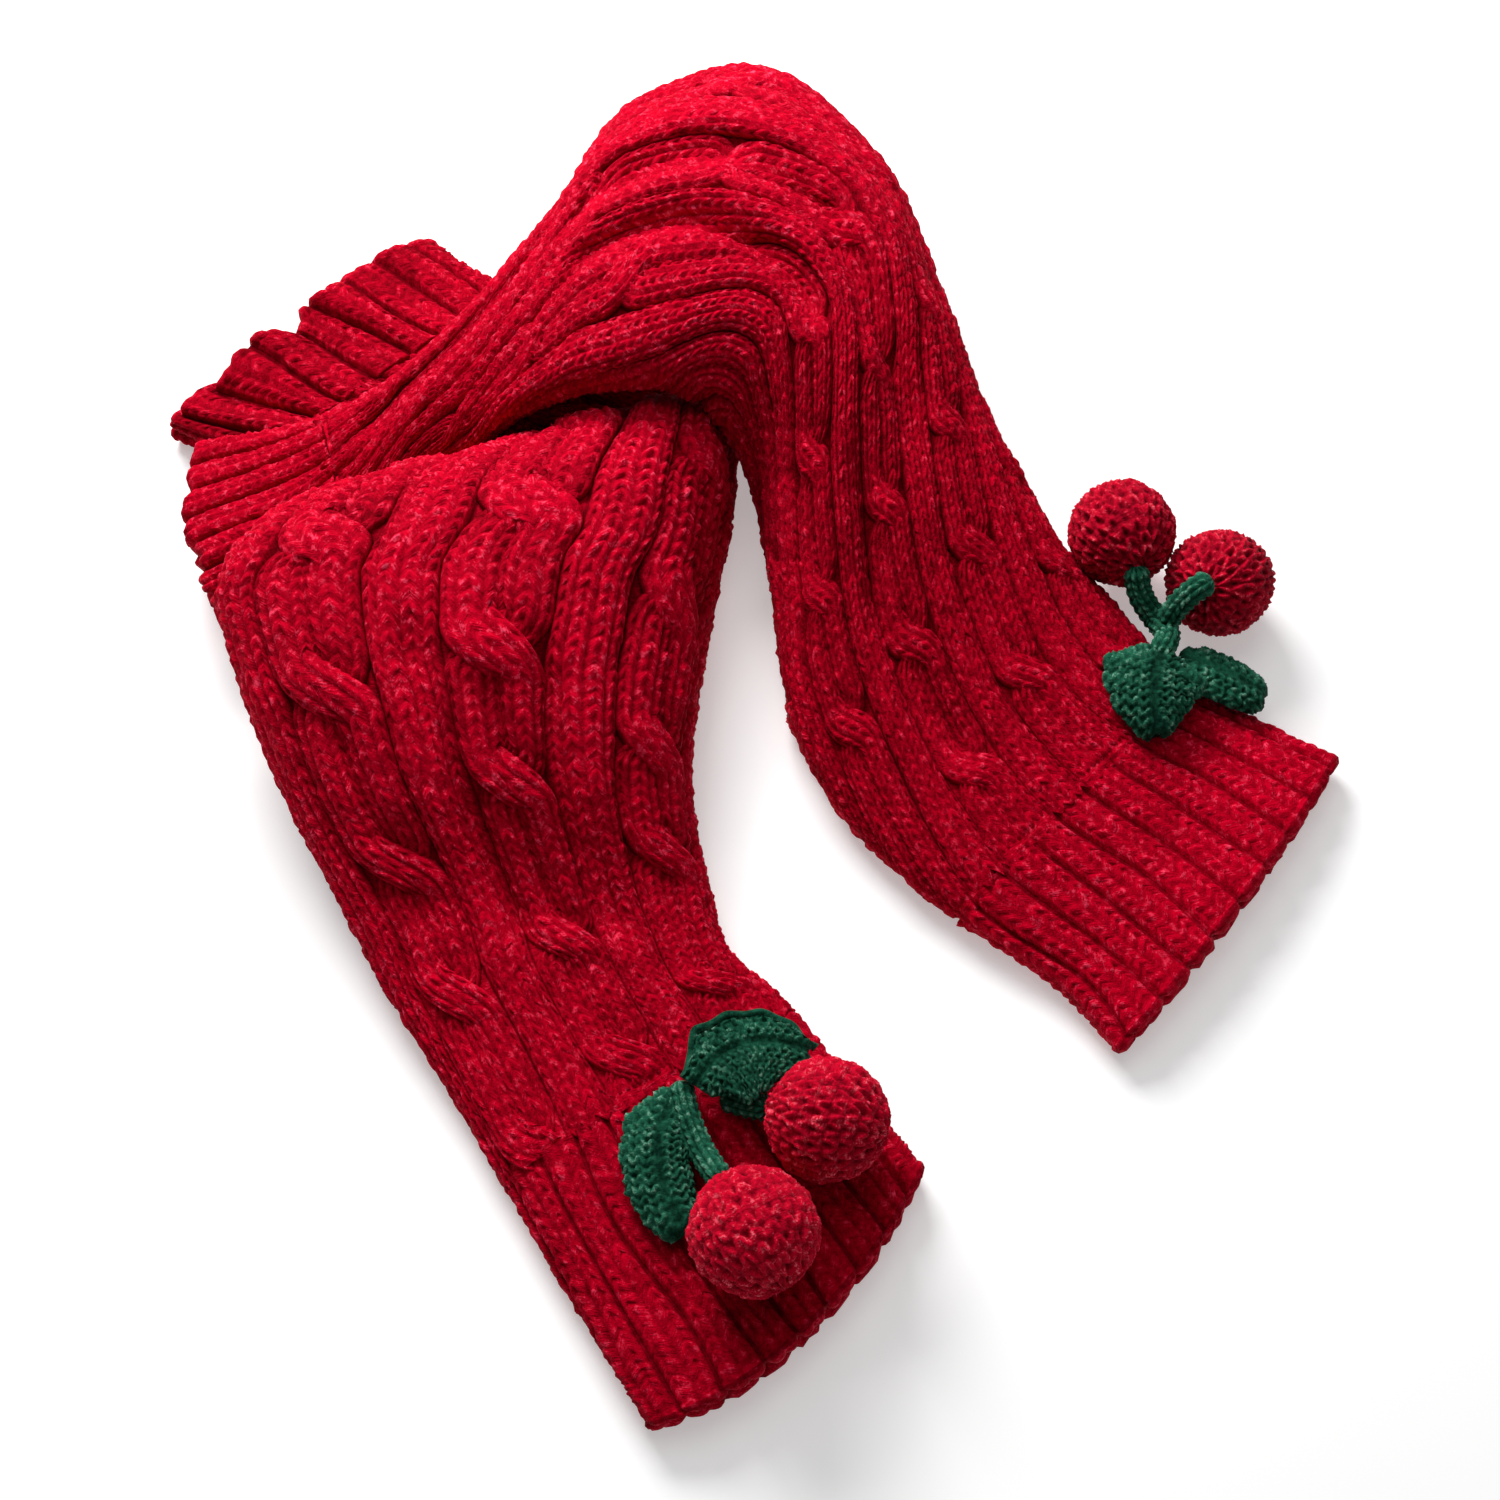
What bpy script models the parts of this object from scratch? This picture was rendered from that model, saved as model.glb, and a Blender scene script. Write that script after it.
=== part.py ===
"""A pair of chunky cable-knit leg warmers with crocheted cherries, lying loosely across each other.

Each leg warmer is one knitted tube: a ribbed lower cuff, a cabled leg and a ribbed upper cuff. The tube is
drawn through a short table of sections, walked from the lower hem to the upper hem. A section runs from a
left edge to a right edge (left and right as you walk), with the height of its underside at each edge and the
height of its crown. Millimetres in the tables, metres in the model, +Z up, the floor at z = 0.
"""
from collections import namedtuple
import math

import bmesh
import bpy
import numpy as np
from mathutils import Vector
from mathutils.bvhtree import BVHTree

MM = 0.001
NAME = "leg_warmers"
MIDDLE = (2.0, -3.8)    # the middle of the pair on the floor, in the tables' millimetres: it becomes the origin

# ---- driving sizes, in millimetres ----
WALL = 4.0              # thickness of the knitted wall
SEAM = 0.4              # space left between two stretches of knitting
STITCHES = 72           # stitches round the tube: six repeats of a cable and a plain column
REPEAT = 12             # 6 cable, 1 purl, 4 knit, 1 purl; the purl stitches draw in to a narrow valley
RIBS = 16               # knit ribs round a cuff
RIB_DEPTH = 1.8
CABLE_DEPTH = 3.0       # how deep the purl valleys lie beside the cables
STEM_RADIUS = 3.4       # a round knitted cord
LEAF_THICKNESS = 3.0
LEAF_CLEAR = 0.5        # least space between a leaf and the ribs that it lies on

# ---- sections ----
Section = namedtuple("Section", "name lx ly rx ry low_l low_r ledge crown lean edge")
# name: where on the leg; lx ly rx ry: the two edges; low_l low_r: underside at them;
# ledge: how far across the left height reaches before it falls to the right one (1 is a straight slope);
# crown: top; lean: where across the crown lies, -1 left to 1 right; edge: height of the rounded side
CROSSING_LEG = (
    Section("lower_hem", 111, -115, 182, -24, 0, 0, 1.0, 15, 0.0, 7),
    Section("lower_rib", 94, -94, 156, -10, 0, 0, 1.0, 16, 0.0, 7),
    Section("rib_top", 66, -74, 138, -1, 0, 0, 1.0, 20, 0.0, 8),
    Section("calf", 38, -49, 116, 26, 0, 0, 1.0, 26, 0.0, 9),
    Section("slope", 18, -14, 96.5, 53, 0, 0, 1.0, 37, 0.0, 11),
    Section("neck", 12, 24, 81, 86, 0, 0, 1.0, 50, -0.1, 12),
    Section("bend_in", 6, 62, 67, 124, 10, 0, 1.0, 63, -0.2, 14),
    Section("bend", -8, 76, 50, 174, 34, 0, 1.0, 71, -0.3, 14),
    Section("top", -26, 77, 12, 210, 46, 0, 1.0, 74, -0.35, 14),
    Section("bend_out", -46, 75, -27, 200, 46, 0, 1.0, 71, -0.3, 14),
    Section("shoulder", -66, 71, -54, 158, 40, 4, 1.0, 60, -0.1, 12),
    Section("pinch_in", -82, 66, -79, 122, 26, 16, 1.0, 49, 0.0, 10),
    Section("pinch", -97, 62, -102, 98, 17.9, 16, 1.0, 40, 0.1, 10),
    Section("fan", -115, 36, -128, 84, 5, 16, 1.0, 31, 0.45, 8),
    Section("upper_hem", -151, 3, -174, 75, 0, 15, 1.0, 26, 0.35, 7),
)
FRONT_LEG = (
    Section("lower_hem", -17, -229, 59, -154, 0, 0, 1.0, 15, 0.0, 7),
    Section("lower_rib", -43, -184, 34, -124, 0, 0, 1.0, 16, 0.0, 7),
    Section("rib_top", -63, -153, 17, -102, 0, 0, 1.0, 18, 0.0, 7),
    Section("shelf", -97, -99, -3, -81, 0, 0, 1.0, 23, 0.0, 8),
    Section("crease", -111, -76, -7, -66, 0, 0, 1.0, 29, 0.0, 9),
    Section("face", -128, -48, -12, -42, 0, 0, 1.0, 45, 0.0, 12),
    Section("brow", -146, -5, -11, -4, 12, 0, 0.3, 60, 0.0, 16),
    Section("crest", -151, 20, -6, 30, 23, 0, 0.5, 64, 0.1, 14),
    Section("back", -136, 38, -1, 56, 27, 0, 0.4, 60.4, 0.1, 16),
    Section("fold", -109, 50.5, 0, 84, 29, 0, 0.25, 48.4, 0.1, 16),
    Section("dive", -93, 60, -6, 108, 0, 0, 1.0, 17.5, 0.0, 7),
    Section("under", -106, 72, -34, 122, 0, 0, 1.0, 14, 0.0, 6),
    Section("upper_rib", -148, 78, -70, 142, 0, 0, 1.0, 14, 0.0, 6),
    Section("upper_hem", -183, 90, -100, 166, 0, 0, 1.0, 16, 0.0, 6),
)

# ---- folds pressed into the top of a leg: a trough from one place to another ----
Fold = namedtuple("Fold", "from_along from_across to_along to_across width depth")
CROSSING_FOLDS = (
    Fold(150, 0.30, 345, 0.05, 7, 7.0),
    Fold(215, -0.25, 330, -0.35, 6, 5.0),
    Fold(230, 0.72, 320, 0.62, 7, 5.0),
    Fold(75, -0.35, 190, -0.25, 6, 4.5),
    Fold(340, 0.35, 430, 0.30, 5, 4.0),
)
FRONT_FOLDS = (
    Fold(118, -0.08, 235, -0.22, 5, 5.0),
    Fold(118, 0.42, 225, 0.38, 5, 5.0),
    Fold(125, 0.12, 215, 0.10, 4, 3.0),
    Fold(120, 0.75, 185, 0.72, 5, 3.5),
    Fold(130, -0.55, 215, -0.62, 5, 3.0),
)

# ---- how the stitches are shared out round each leg: where it is gathered, more of them lie on the top ----
Lay = namedtuple("Lay", "along on_top middle")     # stitches on the top half; the stitch in the middle of the top
CROSSING_LAY = (
    Lay(0, 36, 31.0), Lay(55, 39, 31.2), Lay(80, 46, 31.8), Lay(115, 49, 34.5), Lay(187, 50, 39.8),
    Lay(225, 50, 43.5), Lay(280, 45, 38.0), Lay(330, 43, 37.5), Lay(404, 38, 37.0), Lay(500, 36, 37.0),
)
FRONT_LAY = (
    Lay(0, 36, 37.5), Lay(60, 36, 37.8), Lay(90, 36, 39.2), Lay(125, 36, 40.6), Lay(220, 36, 41.2), Lay(500, 36, 41.4),
)

# ---- how far the corners and notches of a hem lie back from its middle ----
Hem = namedtuple("Hem", "corner notches")          # notches: (across, depth, width), across from -1 to 1
CROSSING_HEMS = (Hem(3.0, ()), Hem(11.0, ((-0.1, 3.0, 0.12), (0.55, 2.5, 0.10))))
FRONT_HEMS = (Hem(11.0, ()), Hem(8.0, ((-0.05, 7.0, 0.10), (0.25, 2.0, 0.10), (-0.55, 2.5, 0.10))))

# ---- the knitted columns: where the facets' edges run, in stitches, and how deep they lie ----
LEG_COLUMNS = (
    ("cable_left", 0.6, 0.9), ("cable_crown", 3.3, 0.0), ("cable_right", 6.0, 0.9), ("purl", 6.8, CABLE_DEPTH),
    ("knit_left", 7.6, 0.8), ("knit_right", 11.0, 0.8), ("purl", 11.9, CABLE_DEPTH),
)

# ---- the stretches that each leg warmer is made in: from and to a section, the kind of knitting, facet rows ----
Stretch = namedtuple("Stretch", "part start end kind outer_rows inner_rows")
STRETCHES = {
    "crossing": (
        Stretch("lower_cuff", "lower_hem", "rib_top", "rib", 7, 2),
        Stretch("leg_lower", "rib_top", "neck", "cable", 8, 3),
        Stretch("leg_middle", "neck", "bend_out", "cable", 10, 4),
        Stretch("leg_upper", "bend_out", "fan", "cable", 8, 3),
        Stretch("upper_cuff", "fan", "upper_hem", "rib", 6, 2),
    ),
    "front": (
        Stretch("lower_cuff", "lower_hem", "rib_top", "rib", 7, 2),
        Stretch("leg_lower", "rib_top", "face", "cable", 8, 3),
        Stretch("leg_middle", "face", "back", "cable", 8, 4),
        Stretch("leg_upper", "back", "upper_rib", "cable", 8, 3),
        Stretch("upper_cuff", "upper_rib", "upper_hem", "rib", 6, 2),
    ),
}

# ---- trimmings, in millimetres ----
Cherry = namedtuple("Cherry", "name x y z radius")
CHERRIES = (
    Cherry("crossing_cherry_near_leg", 118.2, 45.8, 20.8, 16.4),
    Cherry("crossing_cherry_far", 147.6, 31, 16.5, 16.4),
    Cherry("front_cherry_upper", 26, -141, 31.3, 17.0),
    Cherry("front_cherry_lower", 6, -172, 33.5, 17.6),
)
STEMS = (
    ("crossing_stem_trunk", ((121.6, 28.2, 18.5), (124, 24, 15.5), (128, 19, 15), (130, 12, 20), (128, 6, 24), (125, 1, 25))),
    ("crossing_stem_branch", ((142, 23, 34.0), (137.5, 21, 31.8), (133.5, 19, 27.2), (130.6, 17, 22.6))),
    ("front_stem_lower", ((-11, -129, 21.6), (-9, -138, 20.9), (-5.5, -148, 21.4), (-1.6, -157.5, 25.0))),
    ("front_stem_upper", ((-3, -131, 20.2), (3, -133.2, 21), (10.4, -135.8, 24.5))),
)
Leaf = namedtuple("Leaf", "name base middle tip half_width droop roll")
# base, middle, tip: the midrib, x y z; droop: how far the sides hang below it; roll: turn about it in degrees
LEAVES = (
    Leaf("crossing_leaf_front", (127, 2, 25), (121, -12, 27), (121, -27, 23), 12, 3, 0),
    Leaf("crossing_leaf_back", (135, 3.5, 16.5), (146, -1, 18.5), (156, -6, 12.5), 7, 5, 25),
    Leaf("front_leaf_upper", (-10.5, -121.5, 27.6), (0, -115, 36), (20, -119, 28), 12, 7, 0),
    Leaf("front_leaf_lower", (-18, -134, 21.4), (-31, -149, 25), (-15, -171, 21), 7, 4, 0),
)
LEAF_STEPS = 9
LEAF_ACROSS = 6


def smooth(low, high, value):
    """0 below low, 1 above high, and a soft step between."""
    t = np.clip((value - low) / (high - low), 0.0, 1.0)
    return t * t * (3.0 - 2.0 * t)


def spline(knots, values, at):
    """A smooth curve through the rows of values, which stand at the knots."""
    knots = np.asarray(knots, float)
    values = np.asarray(values, float)
    at = np.clip(np.asarray(at, float), knots[0], knots[-1])
    step = np.diff(knots)[:, None]
    rise = np.diff(values, axis=0) / step
    slope = np.empty_like(values)
    slope[0], slope[-1] = rise[0], rise[-1]
    slope[1:-1] = (rise[:-1] * step[1:] + rise[1:] * step[:-1]) / (step[:-1] + step[1:])
    i = np.clip(np.searchsorted(knots, at, side="right") - 1, 0, len(knots) - 2)
    h = step[i]
    t = (at - knots[i])[:, None] / h
    return (
        (2 * t**3 - 3 * t**2 + 1) * values[i] + (t**3 - 2 * t**2 + t) * h * slope[i]
        + (3 * t**2 - 2 * t**3) * values[i + 1] + (t**3 - t**2) * h * slope[i + 1]
    )


class LegWarmer:
    """The form of one leg warmer: place() gives a point for a distance along, a share of the way round and a depth."""

    ROWS = 361              # stations of the lookup tables
    ROUND = 241             # points round each

    def __init__(self, sections, folds, hems, lay):
        self.sections, self.folds, self.hems, self.lay = sections, folds, hems, np.array(lay, float)
        values = np.array([row[1:] for row in sections], float)
        self.values = values
        mid = np.stack([values[:, 0] + values[:, 2], values[:, 1] + values[:, 3], 2 * values[:, 7]], 1) / 2
        self.knots = np.append(0.0, np.cumsum(np.linalg.norm(np.diff(mid, axis=0), axis=1)))
        fine = np.linspace(0.0, self.knots[-1], 600)
        row = spline(self.knots, values, fine)
        crown = np.stack([row[:, 0] + row[:, 2], row[:, 1] + row[:, 3], 2 * row[:, 7]], 1) / 2
        self.fine = fine
        self.travel = np.append(0.0, np.cumsum(np.linalg.norm(np.diff(crown, axis=0), axis=1)))
        self.length = float(self.travel[-1])
        self.outer = self.table(0.0)
        self.inner = self.table(WALL)

    def along(self, name):
        """How far along the crown the named section lies."""
        knot = self.knots[[row.name for row in self.sections].index(name)]
        return float(np.interp(knot, self.fine, self.travel))

    def table(self, inset):
        """Rows of points round the tube, evenly spaced along the knitting: x, y, z, across, and upper or under."""
        along = np.linspace(0.0, self.length, self.ROWS)
        row = spline(self.knots, self.values, np.interp(along, self.travel, self.fine))
        lx, ly, rx, ry, low_l, low_r, ledge, crown, lean, edge = (row[:, i:i + 1] for i in range(10))
        angle = np.linspace(0.0, 2 * math.pi, 289)[None, :]
        across = np.sign(np.sin(angle)) * np.abs(np.sin(angle)) ** 0.8
        upper = -np.cos(angle)
        half = np.hypot(rx - lx, ry - ly) / 2
        reach = across * (half - inset) / half
        x = (lx + rx) / 2 + (rx - lx) / 2 * reach
        y = (ly + ry) / 2 + (ry - ly) / 2 * reach
        straight = low_l + (low_r - low_l) * (across + 1) / 2
        stepped = low_l + (low_r - low_l) * smooth(2 * ledge - 1.25, 2 * ledge - 0.75, across)
        low = np.maximum(np.where(ledge > 0.97, straight, stepped), 0.0)
        side = np.where(across < lean, (lean - across) / (1 + lean), (across - lean) / (1 - lean))
        edge_z = np.where(across < 0, low_l, low_r) + edge
        edge_z = edge_z + (low + edge - edge_z) * (1 - np.abs(across)) ** 0.3
        dome = np.clip(1 - np.abs(side) ** 2.3, 0, 1) ** (1 / 2.3)
        press = self.press(along[:, None], across, half) * np.clip(dome * 1.4 - 0.3, 0, 1)
        top = edge_z + np.maximum(crown - press - inset - edge_z, 0.5) * dome
        flat = np.minimum(1.03 * np.clip(1 - np.abs(across) ** 5, 0, 1) ** 0.2, 1.0)
        under = edge_z - (edge_z - low - inset) * flat
        z = np.where(upper >= 0, top, under)
        points = np.stack([x, y, z, across + 0 * x, upper + 0 * x], -1)
        travel = np.linalg.norm(np.diff(points[:, :, :3], axis=1), axis=2).cumsum(axis=1)
        share = np.linspace(0.0, 1.0, self.ROUND)
        even = np.empty((self.ROWS, self.ROUND, 5))
        for i, ring in enumerate(points):
            done = np.append(0.0, travel[i]) / travel[i, -1]
            for k in range(5):
                even[i, :, k] = np.interp(share, done, ring[:, k])
        return even

    def press(self, along, across, half):
        """How deep the folds press into the top."""
        depth = 0.0 * (along + across)
        for fold in self.folds:
            share = (along - fold.from_along) / (fold.to_along - fold.from_along)
            line = fold.from_across + (fold.to_across - fold.from_across) * share
            fade = smooth(0.0, 0.18, share) * smooth(1.0, 0.82, share)
            depth = depth + fade * fold.depth * np.exp(-((across - line) * half / fold.width) ** 2)
        return depth

    def look(self, table, along, around):
        """Reads a table between its rows and points."""
        i = np.clip(along / self.length, 0.0, 1.0) * (self.ROWS - 1)
        j = (around % 1.0) * (self.ROUND - 1)
        i0 = np.minimum(i.astype(int), self.ROWS - 2)
        j0 = np.minimum(j.astype(int), self.ROUND - 2)
        a, b = (i - i0)[..., None], (j - j0)[..., None]
        return (
            (table[i0, j0] * (1 - b) + table[i0, j0 + 1] * b) * (1 - a)
            + (table[i0 + 1, j0] * (1 - b) + table[i0 + 1, j0 + 1] * b) * a
        )

    def share(self, along, stitch):
        """How far round the tube a stitch lies, from 0 to 1, starting from the middle of the underside."""
        on_top, middle = spline(self.lay[:, 0], self.lay[:, 1:], np.ravel(along)).T
        half = on_top.reshape(np.shape(along)) / 2
        off = (stitch - middle.reshape(np.shape(along)) + STITCHES / 2) % STITCHES - STITCHES / 2
        under = 0.25 + 0.25 * (np.abs(off) - half) / (STITCHES / 2 - half)
        return 0.5 + np.where(np.abs(off) < half, 0.25 * off / half, np.sign(off) * under)

    def place(self, along, stitch, depth):
        """Points in millimetres: along the leg, in stitches round it, and under the outer face."""
        around = self.share(along, stitch)
        along = along + 0 * around
        first = self.look(self.outer, along, around)
        across = first[..., 3]
        for hem, gone, inward in zip(self.hems, (along, self.length - along), (1, -1)):
            back = hem.corner * np.abs(across) ** 2.2
            for at, deep, width in hem.notches:
                back = back + deep * np.exp(-((across - at) / width) ** 2)
            along = along + inward * back * smooth(30.0, 0.0, gone)
        outer = self.look(self.outer, along, around)
        inner = self.look(self.inner, along, around)
        depth = np.asarray(depth, float) * np.where(np.asarray(depth) < WALL, smooth(-0.1, 0.35, outer[..., 4]), 1.0)
        return outer[..., :3] + (inner - outer)[..., :3] * depth[..., None] / WALL


def material(name, colour, roughness):
    """A Principled material in one colour."""
    made = bpy.data.materials.new(name)
    made.use_nodes = True
    shader = made.node_tree.nodes["Principled BSDF"]
    shader.inputs["Base Color"].default_value = (*colour, 1.0)
    shader.inputs["Roughness"].default_value = roughness
    return made


def finish(name, mesh_or_bmesh, look, collection):
    """Puts a mesh in the scene as a named, smooth-shaded object."""
    if isinstance(mesh_or_bmesh, bmesh.types.BMesh):
        mesh = bpy.data.meshes.new(name)
        mesh_or_bmesh.to_mesh(mesh)
        mesh_or_bmesh.free()
    else:
        mesh = mesh_or_bmesh
    mesh.materials.append(look)
    mesh.shade_smooth()
    made = bpy.data.objects.new(name, mesh)
    collection.objects.link(made)
    return made


def wall_of(leg, start, end, columns, outer_rows, inner_rows):
    """A stretch of knitted tube as one closed wall: round the outside, over the rim and back inside."""
    outside = np.linspace(start, end, outer_rows + 1)
    inside = np.linspace(end, start, inner_rows + 1)
    along = np.concatenate([outside, inside, outside[:1]])[:, None]
    lies_inside = np.concatenate([np.zeros(len(outside)), np.ones(len(inside)), [0.0]])[:, None]
    stitch = np.array([row[0] for row in columns] + [columns[0][0] + STITCHES])[None, :]
    deep = np.array([row[1] for row in columns] + [columns[0][1]])[None, :]
    depth = deep * (1 - lies_inside) + WALL * lies_inside
    points = leg.place(along, stitch, depth) * MM
    bm = bmesh.new()
    bmesh.ops.create_grid(bm, x_segments=points.shape[1] - 1, y_segments=points.shape[0] - 1, size=1.0)
    for vert, point in zip(bm.verts, points.reshape(-1, 3)):
        vert.co = Vector(point)
    bmesh.ops.remove_doubles(bm, verts=bm.verts, dist=1e-6)
    if bm.calc_volume(signed=True) < 0:
        bmesh.ops.reverse_faces(bm, faces=bm.faces)
    return bm


def leg_columns():
    """The facet columns of a cabled leg: (stitch, depth) all the way round."""
    rows = []
    for repeat in range(STITCHES // REPEAT):
        for _name, stitch, depth in LEG_COLUMNS:
            rows.append((repeat * REPEAT + stitch, depth))
    return rows


def rib_columns():
    """The facet columns of a cuff: a crown and a valley for each rib."""
    pitch = STITCHES / RIBS
    rows = []
    for rib in range(RIBS):
        rows.append((rib * pitch, 0.0))
        rows.append(((rib + 0.5) * pitch, RIB_DEPTH))
    return rows


def leg_warmer(prefix, leg, look, collection):
    """One leg warmer: its two cuffs, and the leg in as many stretches as it has places to lie."""
    for part, start_name, end_name, kind, outer_rows, inner_rows in STRETCHES[prefix]:
        start = leg.along(start_name) + (SEAM / 2 if start_name != "lower_hem" else 0.0)
        end = leg.along(end_name) - (SEAM / 2 if end_name != "upper_hem" else 0.0)
        columns = rib_columns() if kind == "rib" else leg_columns()
        bm = wall_of(leg, start, end, columns, outer_rows, inner_rows)
        finish(f"{prefix}_{part}", bm, look, collection)


def cherry(item, look, collection):
    """A stuffed crocheted ball."""
    bm = bmesh.new()
    bmesh.ops.create_uvsphere(bm, u_segments=18, v_segments=11, radius=item.radius * MM)
    made = finish(item.name, bm, look, collection)
    made.location = (item.x * MM, item.y * MM, item.z * MM)


def smooth_route(route):
    """A cord's route in metres: four short runs between two of its points."""
    points = np.array(route, float)
    knots = np.append(0.0, np.cumsum(np.linalg.norm(np.diff(points, axis=0), axis=1)))
    return spline(knots, points, np.linspace(0.0, knots[-1], 4 * len(points) - 3)) * MM


def stem(name, route, look, collection):
    """A round knitted cord through the points of its route."""
    curve = bpy.data.curves.new(name, "CURVE")
    curve.dimensions = "3D"
    curve.bevel_depth = STEM_RADIUS * MM
    curve.bevel_resolution = 2
    curve.use_fill_caps = True
    line = curve.splines.new("POLY")
    places = smooth_route(route)
    line.points.add(len(places) - 1)
    for point, place in zip(line.points, places):
        point.co = (*place, 1.0)
    curve.materials.append(look)
    collection.objects.link(bpy.data.objects.new(name, curve))


def top_under(trees, x, y):
    """The height of the knitting or cord under a place, or the floor."""
    hits = [tree.ray_cast(Vector((x, y, 1.0)), Vector((0.0, 0.0, -1.0)))[0] for tree in trees]
    knitted = max([hit.z for hit in hits if hit] + [0.0])
    around = (STEM_RADIUS + 1.2) * MM
    for _name, route in STEMS:
        for place in smooth_route(route):
            near = around ** 2 - (place[0] - x) ** 2 - (place[1] - y) ** 2
            if near > 0:
                knitted = max(knitted, place[2] + math.sqrt(near) - LEAF_CLEAR * MM)
    return knitted


def leaf(item, trees, look, collection):
    """A pointed leaf bent along its midrib, clear of the ribs that it lies on."""
    bm = bmesh.new()
    bmesh.ops.create_grid(bm, x_segments=LEAF_ACROSS, y_segments=LEAF_STEPS, size=1.0)
    base, middle, tip = (Vector(place) * MM for place in (item.base, item.middle, item.tip))
    for vert in bm.verts:
        across, t = vert.co.x, (vert.co.y + 1) / 2
        rib = base * (1 - t) ** 2 + middle * 2 * t * (1 - t) + tip * t * t
        heading = ((middle - base) * (1 - t) + (tip - middle) * t).normalized()
        side = heading.cross(Vector((0, 0, 1))).normalized()
        up = side.cross(heading)
        roll = math.radians(item.roll)
        half = item.half_width * MM * (0.16 + 0.84 * math.sin(math.pi * (0.06 + 0.86 * t ** 0.85)) ** 0.8)
        place = rib + (side * math.cos(roll) + up * math.sin(roll)) * across * half
        place -= up * across * across * item.droop * MM
        lowest = top_under(trees, place.x, place.y) + LEAF_CLEAR * MM
        place.z = max(place.z, lowest)
        vert.co = place
    made = finish(item.name, bm, look, collection)
    thick = made.modifiers.new("thickness", "SOLIDIFY")
    thick.thickness = LEAF_THICKNESS * MM
    thick.offset = 1.0


def main():
    for old in list(bpy.data.objects):
        bpy.data.objects.remove(old, do_unlink=True)
    collection = bpy.data.collections.new(NAME)
    bpy.context.scene.collection.children.link(collection)
    yarn = material("red_yarn", (0.42, 0.004, 0.025), 0.9)
    leg_warmer("crossing", LegWarmer(CROSSING_LEG, CROSSING_FOLDS, CROSSING_HEMS, CROSSING_LAY), yarn, collection)
    leg_warmer("front", LegWarmer(FRONT_LEG, FRONT_FOLDS, FRONT_HEMS, FRONT_LAY), yarn, collection)
    trees = []
    for knitted in collection.objects:
        rows = [vert.co for vert in knitted.data.vertices]
        trees.append(BVHTree.FromPolygons(rows, [tuple(face.vertices) for face in knitted.data.polygons]))
    crochet = material("cherry_yarn", (0.45, 0.008, 0.04), 0.9)
    for item in CHERRIES:
        cherry(item, crochet, collection)
    green = material("green_yarn", (0.006, 0.09, 0.045), 0.9)
    for name, route in STEMS:
        stem(name, route, green, collection)
    for item in LEAVES:
        leaf(item, trees, green, collection)
    pair = bpy.data.objects.new("pair", None)
    pair.location = (-MIDDLE[0] * MM, -MIDDLE[1] * MM, 0.0)
    collection.objects.link(pair)
    for piece in collection.objects:
        if piece != pair:
            piece.parent = pair


main()
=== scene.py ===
"""Cable-knit leg warmers with crocheted cherries, knitted stitch by stitch round their solid model."""

from collections import namedtuple
import math

import bmesh
import bpy
from bpy.props import FloatProperty, FloatVectorProperty, PointerProperty
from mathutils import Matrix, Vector
from mathutils.bvhtree import BVHTree
import numpy as np


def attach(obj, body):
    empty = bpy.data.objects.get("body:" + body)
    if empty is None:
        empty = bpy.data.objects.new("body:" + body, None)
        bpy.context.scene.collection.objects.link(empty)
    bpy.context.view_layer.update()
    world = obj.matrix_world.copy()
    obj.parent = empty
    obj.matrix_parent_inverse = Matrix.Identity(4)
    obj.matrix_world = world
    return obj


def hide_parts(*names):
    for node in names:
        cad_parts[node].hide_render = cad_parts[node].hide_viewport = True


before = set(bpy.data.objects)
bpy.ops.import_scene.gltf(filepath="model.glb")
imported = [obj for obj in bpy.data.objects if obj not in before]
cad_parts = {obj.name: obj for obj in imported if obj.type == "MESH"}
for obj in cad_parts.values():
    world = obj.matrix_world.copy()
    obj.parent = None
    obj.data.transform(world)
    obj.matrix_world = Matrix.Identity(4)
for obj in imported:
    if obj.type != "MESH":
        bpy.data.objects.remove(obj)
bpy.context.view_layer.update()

bl_info = {
    "name": "Cable-knit leg warmers",
    "version": (1, 0, 0),
    "blender": (4, 5, 0),
    "location": "View3D > Sidebar > Leg warmers",
    "description": "Knits a pair of cabled leg warmers with crocheted cherries round their solid model",
    "category": "Add Mesh",
}

MM = 0.001
MIDDLE = np.array([2.0, -3.8, 0.0])     # the middle of the pair in the tables, and the origin here
WALL = 4.0              # the solid wall that the knitting stands for
LINING = 5.3            # depth of the wrong side under the highest stitches
ROUND = 72              # width units round a tube
REPEAT = 12             # a cable and a plain column, with a narrow purl valley on each side
CABLE = 3.3             # where the middle of a cable lies in its repeat
CABLE_HALF = 3.45       # half its width
PLAIN = 9.3             # the middle of a plain column
PLAIN_HALF = 2.45       # half its width
GROUND = 3.7            # depth of the purl ground under the cables
RIB = 4.0               # the width of a cuff's rib with its valley, three to a repeat
RIB_FIRST = 1.3         # the middle of the first rib
RIB_HALF = 1.84         # half the width of the rib alone
RIB_DEPTH = 2.4         # depth of the valleys between ribs
COLUMNS = 6             # mesh columns for a stitch
STEPS = 4               # mesh rows for a stitch
LAP = 0.25              # how far a cuff reaches into the leg
LEG_LAP = 0.8           # how far the leg reaches into a cuff
SLANT = 0.85            # how far a stitch's two legs rise towards its middle, in rows
ROW = 3.5               # the height of a row beyond the ends of a tube
SWELL = (0.6, 1.3)      # how plump the thinnest and the plumpest stitches are
MOST_STITCHES = 80      # more than there are round a tube
ROUGH = 0.14            # how uneven the surface of the yarn is
LEG_UNEVEN = (0.30, 0.16)       # how uneven a leg's valleys are, and how far its columns sway
CUFF_UNEVEN = (0.60, 0.42)      # the same for a cuff
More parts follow.
